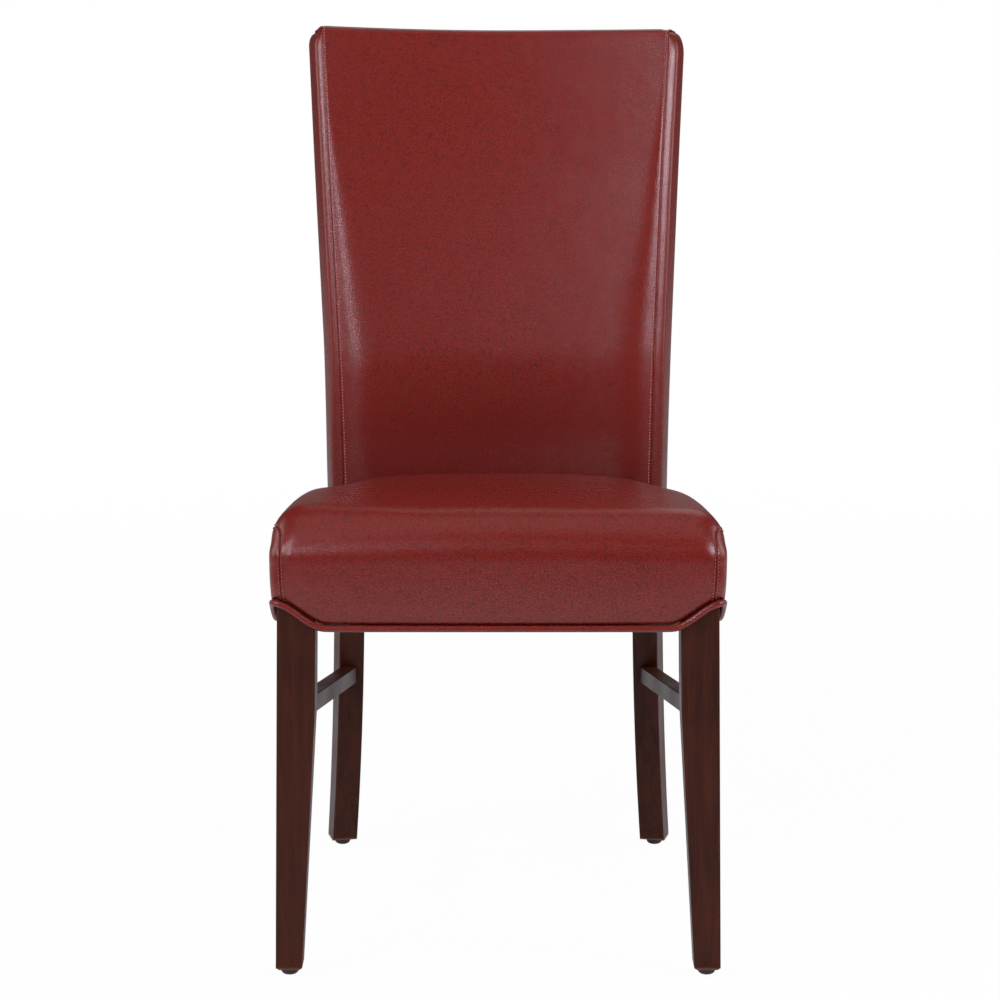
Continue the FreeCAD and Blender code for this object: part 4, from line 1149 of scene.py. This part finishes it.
class Nodes:
    """Builds a tree of nodes. The steps take and give outputs of nodes."""

    def __init__(self, tree):
        self.tree = tree
        tree.nodes.clear()

    def add(self, kind, inputs=None, output=0, **settings):
        """Adds a node with its settings and inputs, each a value or a link."""
        node = self.tree.nodes.new("ShaderNode" + kind)
        for key, value in settings.items():
            setattr(node, key, value)
        for key, value in (inputs or {}).items():
            if isinstance(value, bpy.types.NodeSocket):
                self.tree.links.new(value, node.inputs[key])
            else:
                node.inputs[key].default_value = value
        return node.outputs[output] if node.outputs else None

    def combine(self, operation, first, second):
        return self.add("Math", {0: first, 1: second}, operation=operation)

    def range(self, value, low, high, to_low, to_high, smooth=False):
        """A value taken from one range to another, and kept inside it."""
        return self.add("MapRange", {"Value": value, "From Min": low, "From Max": high,
                                     "To Min": to_low, "To Max": to_high},
                        interpolation_type="SMOOTHSTEP" if smooth else "LINEAR")


class Finish(Nodes):
    """Builds one material. Its textures lie in the chair's own coordinates, or in a place
    that is given."""

    def __init__(self, name):
        self.material = bpy.data.materials.new(name)
        self.material.use_nodes = True
        super().__init__(self.material.node_tree)
        self.place = self.add("TexCoord", output="Object")
        self.bump = None

    def moved(self, scale=(1, 1, 1), turn=(0, 0, 0)):
        return self.add("Mapping", {"Vector": self.place, "Scale": scale, "Rotation": turn})

    def stretched(self, along, across):
        """Coordinates for forms that are long in one direction."""
        return self.moved([1.0 if axis == along else across for axis in range(3)])

    def height(self):
        return self.add("SeparateXYZ", {"Vector": self.place}, "Z")

    def noise(self, scale, detail=2.0, roughness=0.5, distortion=0.0, place=None, output=0):
        return self.add("TexNoise", {"Vector": place or self.place, "Scale": scale,
                                     "Detail": detail, "Roughness": roughness,
                                     "Distortion": distortion}, output)

    def cells(self, scale, place=None, feature="F1"):
        return self.add("TexVoronoi", {"Vector": place or self.place, "Scale": scale},
                        feature=feature)

    def blend(self, factor, first, second):
        """Two colours mixed by a factor, each a value or a link."""
        first, second = (value if isinstance(value, bpy.types.NodeSocket) else (*value, 1.0)
                         for value in (first, second))
        return self.add("Mix", {0: factor, 6: first, 7: second}, 2, data_type="RGBA")

    def relief(self, height, strength, distance):
        """A bump, on top of the ones before it."""
        inputs = {"Height": height, "Strength": strength, "Distance": distance}
        if self.bump:
            inputs["Normal"] = self.bump
        self.bump = self.add("Bump", inputs)

    def done(self, colour, roughness, **others):
        inputs = {"Base Color": colour, "Roughness": roughness, "Normal": self.bump}
        inputs.update((key.replace("_", " "), value) for key, value in others.items())
        self.add("OutputMaterial", {"Surface": self.add("BsdfPrincipled", inputs)})
        return self.material


def known(name, make, *details):
    return bpy.data.materials.get(name) or make(name, *details)


def shaded(shade, part):
    return tuple(value * part for value in shade)


def leather_finish(name):
    """Pebbled, semi-gloss leather: small raised pebbles, darker pores and soft creases. Low on
    the back its colour is darkened: painted shade, standing in for shade the lamps don't give."""
    shades = colours()
    finish = Finish(name)
    warp = finish.noise(160, output="Color")
    warp_size = (0.0016,) * 3
    place = finish.add("VectorMath", {0: warp, 1: warp_size, 2: finish.place},
                       operation="MULTIPLY_ADD")
    pebbles = finish.cells(345, place, "DISTANCE_TO_EDGE")
    fine = finish.cells(1150, place)
    folds = finish.noise(75, 4, 0.6, 0.5)
    slack = finish.noise(13)
    pores = finish.range(pebbles, 0.02, 0.16, 1.0, 0.0, smooth=True)
    tone = finish.range(folds, 0.30, 0.75, 0.0, 0.08)
    # Painted shade: the leather behind the seat (past y 0.07 to 0.12 m) and low down (below 0.62 to
    # 0.46 m) is darkened towards the pore colour, in place of shade that the lamps don't give.
    depth = finish.add("SeparateXYZ", {"Vector": finish.place}, "Y")
    behind = finish.range(depth, 0.07, 0.12, 0.0, 1.0, smooth=True)
    low = finish.range(finish.height(), 0.46, 0.62, 0.80, 0.0, smooth=True)
    # Random tone along the folds, plus the painted shade low on the back.
    darker = finish.combine("ADD", tone, finish.combine("MULTIPLY", behind, low))
    deep = finish.combine("MAXIMUM", pores, darker)
    colour_out = finish.blend(deep, shades.leather, shades.pore_and_painted_shade_leather)
    roughness = finish.combine("ADD", finish.range(folds, 0.25, 0.75, 0.23, 0.29),
                               finish.range(pores, 0.0, 1.0, 0.0, 0.08))
    finish.relief(slack, 0.25, 0.0040)
    finish.relief(folds, 0.14, 0.0010)
    finish.relief(finish.range(pebbles, 0.0, 0.30, 0.0, 1.0, smooth=True), 0.27, 0.00020)
    finish.relief(fine, 0.10, 0.00008)
    return finish.done(colour_out, roughness, Specular_IOR_Level=0.45)


def thread_finish(name, shade):
    """Twisted waxed thread."""
    finish = Finish(name)
    place = finish.moved(turn=(0.5, 0.4, 0.3))
    twist = finish.add("TexWave", {"Vector": place, "Scale": 700}, "Fac", wave_type="BANDS")
    finish.relief(twist, 0.5, 0.0001)
    return finish.done(finish.blend(twist, shaded(shade, 0.6), shade), 0.5)


def stained_wood_finish(name, along):
    """Dark stained hardwood under a satin lacquer, with its grain along one direction. The
    stain is worn thin round the feet."""
    shades = colours()
    finish = Finish(name)
    grain = finish.noise(9, 6, 0.62, 0.9, place=finish.stretched(along, 16.0))
    pores = finish.noise(60, 3, 0.6, place=finish.stretched(along, 34.0))
    cloud = finish.noise(11, 3)
    bands = finish.range(grain, 0.34, 0.66, 0.0, 1.0, smooth=True)
    base = finish.blend(bands, shades.wood_dark, shades.wood)
    specks = finish.range(pores, 0.60, 0.72, 0.0, 0.75)
    dark = finish.blend(specks, base, shaded(shades.wood_dark, 0.45))
    warm = finish.range(cloud, 0.40, 0.70, 0.0, 0.30)
    toned = finish.blend(warm, dark, shaded(shades.wood, 1.5))
    ragged = finish.range(grain, 0.3, 0.7, -0.0012, 0.0012)
    level = finish.combine("ADD", finish.height(), ragged)
    worn = finish.range(level, 0.0098, 0.0125, 0.85, 0.0, smooth=True)
    finish.relief(grain, 0.12, 0.0006)
    finish.relief(specks, -0.35, 0.0002)
    return finish.done(finish.blend(worn, toned, shades.wood_worn),
                       finish.range(cloud, 0.3, 0.7, 0.33, 0.46), Specular_IOR_Level=0.15)


def raw_wood_finish(name, light, dark, along=0, rings=9.0):
    """Unfinished wood inside the chair."""
    finish = Finish(name)
    place = finish.stretched(along, 12.0)
    grain = finish.noise(rings, 5, 0.6, 1.1, place)
    fibres = finish.noise(rings * 14, 2, 0.6, place=place)
    bands = finish.range(grain, 0.36, 0.64, 0.0, 1.0, smooth=True)
    thin = finish.range(fibres, 0.55, 0.75, 0.0, 0.4)
    base = finish.blend(bands, dark, light)
    finish.relief(fibres, 0.3, 0.0004)
    return finish.done(finish.blend(thin, base, shaded(dark, 0.6)), 0.72)


def board_finish(name, light, dark, scale):
    """Pressed board: short flat fibres in every direction."""
    finish = Finish(name)
    fibres = finish.noise(scale * 3, 4, 0.7, 0.8)
    flakes = finish.combine("MULTIPLY", finish.cells(scale), fibres)
    finish.relief(fibres, 0.4, 0.0004)
    return finish.done(finish.blend(finish.range(flakes, 0.05, 0.4, 0.0, 1.0), light, dark), 0.8)


def woven_finish(name, light, dark, threads, stripe=None):
    """Cloth of crossing threads, with a coloured stripe where one is given."""
    finish = Finish(name)
    wave = {"Vector": finish.place, "Scale": threads, "Distortion": 0.6, "Detail": 1.0}
    warp, weft = (finish.add("TexWave", wave, "Fac", wave_type="BANDS", bands_direction=direction)
                  for direction in ("X", "Y"))
    weave = finish.combine("MULTIPLY", warp, weft)
    fuzz = finish.combine("MULTIPLY", weave, finish.noise(threads * 2.5, 3, 0.7))
    colour_out = finish.blend(finish.range(fuzz, 0.02, 0.45, 0.0, 1.0), dark, light)
    if stripe:
        tint = finish.range(finish.noise(6, 1, 0.4), 0.45, 0.6, 0.0, 0.35)
        colour_out = finish.blend(tint, colour_out, stripe)
    finish.relief(weave, 0.6, 0.0006)
    return finish.done(colour_out, 0.85)


def foam_finish(name):
    finish = Finish(name)
    amount = finish.range(finish.noise(22, 3, 0.6), 0.3, 0.7, 0.0, 0.6)
    finish.relief(finish.cells(900), 0.7, 0.0008)
    return finish.done(finish.blend(amount, (0.62, 0.52, 0.30), (0.50, 0.38, 0.19)), 0.9)


def metal_finish(name):
    """Plated steel, brushed and a little stained."""
    finish = Finish(name)
    brushed = finish.noise(400, 3, 0.6, place=finish.moved((1, 1, 6)))
    stains = finish.range(finish.noise(60, 3, 0.6), 0.35, 0.7, 0.0, 0.5)
    finish.relief(brushed, 0.1, 0.0002)
    return finish.done(finish.blend(stains, (0.52, 0.53, 0.54), (0.33, 0.32, 0.30)),
                       finish.range(brushed, 0.3, 0.7, 0.26, 0.44), Metallic=1.0)


def glide_finish(name):
    """Hard plastic glides, scuffed where they slide on the floor."""
    shade = colours().glide
    finish = Finish(name)
    scuffs = finish.noise(130, 4, 0.7, place=finish.moved((1, 5, 5)))
    low = finish.range(finish.height(), 0.0, 0.0035, 0.75, 0.0)
    amount = finish.combine("MULTIPLY", scuffs, low)
    finish.relief(scuffs, 0.2, 0.0003)
    return finish.done(finish.blend(amount, shade, tuple(min(1.0, v * 3.2 + 0.02) for v in shade)),
                       finish.range(scuffs, 0.3, 0.7, 0.30, 0.52))


def give_finish(material, *names):
    """Gives CAD nodes their finish, through their objects' own slots."""
    for name in names:
        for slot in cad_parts[name].material_slots:
            slot.link = "OBJECT"
            slot.material = material


# Operators

class ChairOperator(bpy.types.Operator):
    """Makes a part of the chair"""
    bl_idname = "chair.part"
    bl_label = "Part"
    bl_options = {"REGISTER", "UNDO"}

    def make(self):
        raise NotImplementedError

    def execute(self, context):
        self.make()
        return {"FINISHED"}


def leather():
    return known("pebbled_leather", leather_finish)


def leather_piece(name, grids, centre, replaced):
    """A padded leather skin with its thickness on the inner side."""
    leather_thickness = 0.0014
    mesh = turn_outward(mesh_of(name, grids), Vector(centre))
    piece = piece_of(name, mesh, leather(), (replaced,))
    thicken(piece, leather_thickness)


def foam_piece(mesh, replaced):
    pad = piece_of(mesh.name, mesh, known("open_cell_foam", foam_finish), (replaced,))


class CHAIR_OT_seat_cover(ChairOperator):
    """One piece of leather over the front and the top of the seat, drawn over its foam"""
    bl_idname = "chair.seat_cover"
    bl_label = "Seat Cover"

    def make(self):
        leather_piece("seat_leather", [seat_top_grid()], (0, 0, 0.40), "seat_cover_top")


class CHAIR_OT_seat_sides(ChairOperator):
    """The two leather panels at the sides of the seat, with the rounded corners over them"""
    bl_idname = "chair.seat_sides"
    bl_label = "Seat Side Panels"

    def make(self):
        for sign, side in ((1.0, "right"), (-1.0, "left")):
            leather_piece("seat_side_" + side, seat_side_grids(sign), (0, -0.08, 0.42),
                          "seat_cover_side_" + side)


class CHAIR_OT_seat_padding(ChairOperator):
    """The foam under the seat's leather"""
    bl_idname = "chair.seat_padding"
    bl_label = "Seat Padding"

    def make(self):
        foam_piece(seat_pad_mesh(), "seat_foam")


class CHAIR_OT_back_cover(ChairOperator):
    """The leather panels on the front and the rear of the back"""
    bl_idname = "chair.back_cover"
    bl_label = "Back Panels"

    def make(self):
        leather_piece("back_panel_front", [back_front_grid()], (0, 0.24, 0.68),
                      "back_cover_front")
        leather_piece("back_panel_rear", [back_rear_grid()], (0, -0.3, 0.68),
                      "back_cover_rear")


class CHAIR_OT_back_bands(ChairOperator):
    """The two leather bands down the sides of the back"""
    bl_idname = "chair.back_bands"
    bl_label = "Back Side Bands"

    def make(self):
        for sign, side in ((1.0, "right"), (-1.0, "left")):
            leather_piece("back_band_" + side, [band_grid(sign)], (0, 0.2, 0.68),
                          "back_side_band_" + side)


class CHAIR_OT_back_padding(ChairOperator):
    """The foam of the back"""
    bl_idname = "chair.back_padding"
    bl_label = "Back Padding"

    def make(self):
        foam_piece(back_pad_mesh(), "back_foam")


class CHAIR_OT_piping(ChairOperator):
    """Leather piping along the whole hem"""
    bl_idname = "chair.piping"
    bl_label = "Hem Piping"

    def make(self):
        spacing, rounds, sides = 0.003, 3, 16
        path = smooth_loop(resample_loop(piping_path(), spacing), rounds)
        tube = tube_grid(path, hem_sizes().piping / 2, sides)
        mesh = turn_outward(mesh_of("hem_piping", [tube]))
        piece_of("hem_piping", mesh, leather(), ("hem_welt",))


class CHAIR_OT_stitches(ChairOperator):
    """Rows of stitches beside the seams"""
    bl_idname = "chair.stitches"
    bl_label = "Stitches"

    def make(self):
        sewing = sewing_sizes()
        seat_runs, back_runs = [], []
        for sign in (1.0, -1.0):
            seat_runs += [stitches_along(seat_seam_run(sign, away))
                          for away in (-sewing.double_setback, sewing.double_setback)]
            back_runs.append(stitches_along(back_seam_run(sign, sewing.setback)))
            back_runs.append(stitches_along(rear_seam_run(sign, sewing.setback)))
        back_runs.append(stitches_along(rear_top_run(sewing.setback)))
        shades = colours()
        # The seat's corner stitches get the darker copy of the thread: painted shade.
        thread_in_shade = known("dull_thread", thread_finish, shades.dull_thread)
        thread = known("sewing_thread", thread_finish, shades.thread)
        piece_of("seat_stitches", stitch_mesh("seat_stitches", seat_runs), thread_in_shade)
        piece_of("back_stitches", stitch_mesh("back_stitches", back_runs), thread)


class CHAIR_OT_dust_cloth(ChairOperator):
    """Thin black cloth stapled under the seat"""
    bl_idname = "chair.dust_cloth"
    bl_label = "Dust Cloth"

    def make(self):
        mesh = turn_outward(dust_cover_mesh(), Vector((0, 0, 1.0)))
        cloth = known("bonded_cloth", woven_finish, (0.030, 0.030, 0.031),
                      (0.008, 0.008, 0.009), 900)
        piece = piece_of("dust_cloth", mesh, cloth, ("dust_cover",))
        cloth_thickness = 0.0004
        thicken(piece, cloth_thickness)


class CHAIR_OT_wood(ChairOperator):
    """Dark stained wood on the legs, the posts and the stretchers"""
    bl_idname = "chair.wood"
    bl_label = "Stained Wood"

    def make(self):
        give_finish(known("stained_wood_upright", stained_wood_finish, 2),
                    "front_leg_right", "front_leg_left", "rear_post_right", "rear_post_left")
        give_finish(known("stained_wood_stretcher", stained_wood_finish, 1),
                    "side_stretcher_right", "side_stretcher_left")


class CHAIR_OT_inner_frame(ChairOperator):
    """Plain wood, boards and dowels inside the upholstery"""
    bl_idname = "chair.inner_frame"
    bl_label = "Inner Frame"

    def make(self):
        beech = (0.46, 0.30, 0.16), (0.34, 0.20, 0.10)
        birch = (0.60, 0.45, 0.27), (0.48, 0.33, 0.18)
        plywood = (0.55, 0.40, 0.24), (0.42, 0.28, 0.15)
        board = (0.30, 0.20, 0.12), (0.17, 0.10, 0.055)
        give_finish(known("beech_across", raw_wood_finish, *beech, 0),
                    "front_rail", "rear_rail", "back_top_rail", "back_lower_rail",
                    "corner_block_front_left", "corner_block_front_right",
                    "corner_block_rear_left", "corner_block_rear_right")
        give_finish(known("beech_lengthwise", raw_wood_finish, *beech, 1),
                    "side_rail_left", "side_rail_right")
        give_finish(known("birch_dowel", raw_wood_finish, *birch, 0, 26.0),
                    "rail_dowels", "back_rail_dowels", "stretcher_dowels")
        give_finish(known("bent_plywood", raw_wood_finish, *plywood, 2, 5.0), "back_inner_panel")
        give_finish(known("pressed_board", board_finish, *board, 260), "back_outside_board")


class CHAIR_OT_fittings(ChairOperator):
    """Webbing, staples, screws, nails and glides"""
    bl_idname = "chair.fittings"
    bl_label = "Webbing and Fittings"

    def make(self):
        jute = (0.42, 0.30, 0.16), (0.19, 0.12, 0.06)
        red_stripe = (0.30, 0.06, 0.05)
        give_finish(known("jute_webbing", woven_finish, *jute, 320, red_stripe),
                    "seat_webbing_across", "seat_webbing_lengthwise")
        give_finish(known("zinc_plated_steel", metal_finish),
                    "corner_block_screws", "webbing_staples", "dust_cover_staples", "glide_nails")
        give_finish(known("scuffed_glide", glide_finish),
                    "glide_front_left", "glide_front_right", "glide_rear_left", "glide_rear_right")


# The stage

COOL, WHITE = (0.92, 0.90, 1.0), (1.0, 1.0, 1.0)

# Each lamp's name, place, target, size, power and colour.
LAMPS = (
    ("softbox_left", (-1.12, -2.40, 1.74), (0, 0.2, 0.75), (0.42, 0.50), 16, COOL),
    ("front_fill", (-0.10, -2.65, 1.92), (0, 0.2, 0.75), (1.30, 0.55), 1.5, COOL),
    ("softbox_right", (1.90, -1.90, 1.80), (0, 0.2, 0.75), (0.40, 0.60), 12, COOL),
    ("side_left", (-1.92, -1.00, 1.68), (-0.2, 0.2, 0.9), (0.90, 0.7), 23, COOL),
    ("side_right", (1.92, -1.00, 1.68), (0.2, 0.2, 0.9), (0.90, 0.7), 31, COOL),
    ("key_left", (-2.25, -2.55, 3.92), (-0.1, -0.2, 0.5), (0.8, 0.42), 40, COOL),
    ("wall_left", (-2.40, 0.75, 1.30), (-0.2, 0.25, 0.7), (1.3, 1.3), 11, WHITE),
    ("wall_right", (2.40, 0.75, 1.30), (0.2, 0.25, 0.7), (1.3, 1.3), 12, WHITE),
    ("overhead", (0.1, -0.5, 3.4), (0, -0.1, 0.5), (3.0, 2.6), 14, WHITE),
    ("softbox_rear", (0.6, 3.2, 3.2), (0, 0.2, 0.6), (2.4, 2.4), 16, WHITE),
)


def staged(name, data):
    """An object of the stage, in the scene."""
    thing = bpy.data.objects.new(name, data)
    bpy.context.scene.collection.objects.link(thing)
    return thing


def area_lamp(name, place, target, size, power, shade):
    data = bpy.data.lights.new(name, "AREA")
    data.shape = "RECTANGLE"
    data.size, data.size_y = size
    data.energy = power
    data.color = shade
    lamp = staged(name, data)
    lamp.location = place
    lamp.rotation_euler = (Vector(target) - Vector(place)).to_track_quat("-Z", "Y").to_euler()


def seen_white(nodes, parts):
    """How far the white shows: fully to the camera and through glass, and to rays of other
    kinds by the part that each is given."""
    def ray(kind):
        return nodes.add("LightPath", output="Is %s Ray" % kind)

    total = nodes.combine("MAXIMUM", ray("Camera"), ray("Transmission"))
    for kind, part in parts:
        total = nodes.combine("MAXIMUM", total, nodes.combine("MULTIPLY", ray(kind), part))
    return total


def floor_material():
    """A pale floor that fades into the white of the backdrop away from the chair."""
    stage = stage_sizes()
    material = bpy.data.materials.new("pale_floor")
    material.use_nodes = True
    nodes = Nodes(material.node_tree)
    place = nodes.add("TexCoord", output="Object")
    far = nodes.add("VectorMath", {0: place}, "Value", operation="LENGTH")
    fade = nodes.range(far, 0.6, 3.5, 0.97, 1.0, smooth=True)
    seen = seen_white(nodes, (("Glossy", stage.glossy_part), ("Diffuse", stage.bounce)))
    pale = nodes.add("BsdfDiffuse", {"Color": (*colours().floor, 1.0)})
    mixed = nodes.add("MixShader", {0: nodes.combine("MULTIPLY", seen, fade), 1: pale,
                                    2: nodes.add("Emission")})
    nodes.add("OutputMaterial", {"Surface": mixed})
    return material


def studio_world():
    """Soft light from all round, and the white backdrop."""
    stage = stage_sizes()
    world = bpy.data.worlds.new("studio")
    world.use_nodes = True
    nodes = Nodes(world.node_tree)
    way = nodes.add("SeparateXYZ", {"Vector": nodes.add("TexCoord", output="Generated")}, "Y")
    behind = nodes.range(way, 0.93, 0.995, 0.0, stage.glossy_part, smooth=True)
    soft = nodes.add("Background", {"Color": (*WHITE, 1.0), "Strength": stage.ambient})
    white = nodes.add("Background", {"Color": (*WHITE, 1.0)})
    mixed = nodes.add("MixShader", {0: seen_white(nodes, (("Glossy", behind),)), 1: soft, 2: white})
    nodes.add("OutputWorld", {"Surface": mixed})
    return world


class CHAIR_OT_stage(ChairOperator):
    """The floor, the lamps and the camera"""
    bl_idname = "chair.stage"
    bl_label = "Stage"

    def make(self):
        stage = stage_sizes()
        scene = bpy.context.scene
        reach = (-9.0, 9.0)
        mesh = mesh_of("studio_floor", [[[Vector((x, y, 0.0)) for x in reach] for y in reach]])
        mesh.materials.append(floor_material())
        floor = staged("studio_floor", mesh)
        scene.world = studio_world()
        for lamp in LAMPS:
            area_lamp(*lamp)
        data = bpy.data.cameras.new("studio_camera")
        data.angle = stage.view
        data.clip_start = 0.05
        camera = staged("studio_camera", data)
        camera.location = (stage.aside, LEG_FRONT - stage.distance, stage.height)
        camera.rotation_euler = (math.pi / 2 - stage.pitch, 0.0, 0.0)
        scene.camera = camera
        scene.view_settings.view_transform = "Standard"


OPERATORS = (
    CHAIR_OT_seat_cover,
    CHAIR_OT_seat_sides,
    CHAIR_OT_seat_padding,
    CHAIR_OT_back_cover,
    CHAIR_OT_back_bands,
    CHAIR_OT_back_padding,
    CHAIR_OT_piping,
    CHAIR_OT_stitches,
    CHAIR_OT_dust_cloth,
    CHAIR_OT_wood,
    CHAIR_OT_inner_frame,
    CHAIR_OT_fittings,
    CHAIR_OT_stage,
)


class CHAIR_PT_pieces(bpy.types.Panel):
    """Lists the chair's pieces, with the sizes and colours they are made from"""
    bl_idname = "CHAIR_PT_pieces"
    bl_label = "Leather Dining Chair"
    bl_space_type = "VIEW_3D"
    bl_region_type = "UI"
    bl_category = "Chair"

    def draw(self, context):
        for operator in OPERATORS:
            self.layout.operator(operator.bl_idname)
        for name, group in SIZES.items():
            box = self.layout.box()
            box.label(text=group.__doc__)
            for field in group.__annotations__:
                box.prop(getattr(context.scene, name), field)


def register():
    for group in SIZES.values():
        bpy.utils.register_class(group)
    for name, group in SIZES.items():
        setattr(bpy.types.Scene, name, bpy.props.PointerProperty(type=group))
    for operator in OPERATORS:
        bpy.utils.register_class(operator)
    bpy.utils.register_class(CHAIR_PT_pieces)


def unregister():
    bpy.utils.unregister_class(CHAIR_PT_pieces)
    for operator in reversed(OPERATORS):
        bpy.utils.unregister_class(operator)
    for name in SIZES:
        delattr(bpy.types.Scene, name)
    for group in reversed(list(SIZES.values())):
        bpy.utils.unregister_class(group)


def main():
    register()
    for operator in OPERATORS:
        family, name = operator.bl_idname.split(".")
        getattr(getattr(bpy.ops, family), name)()


if __name__ == "__main__":
    main()
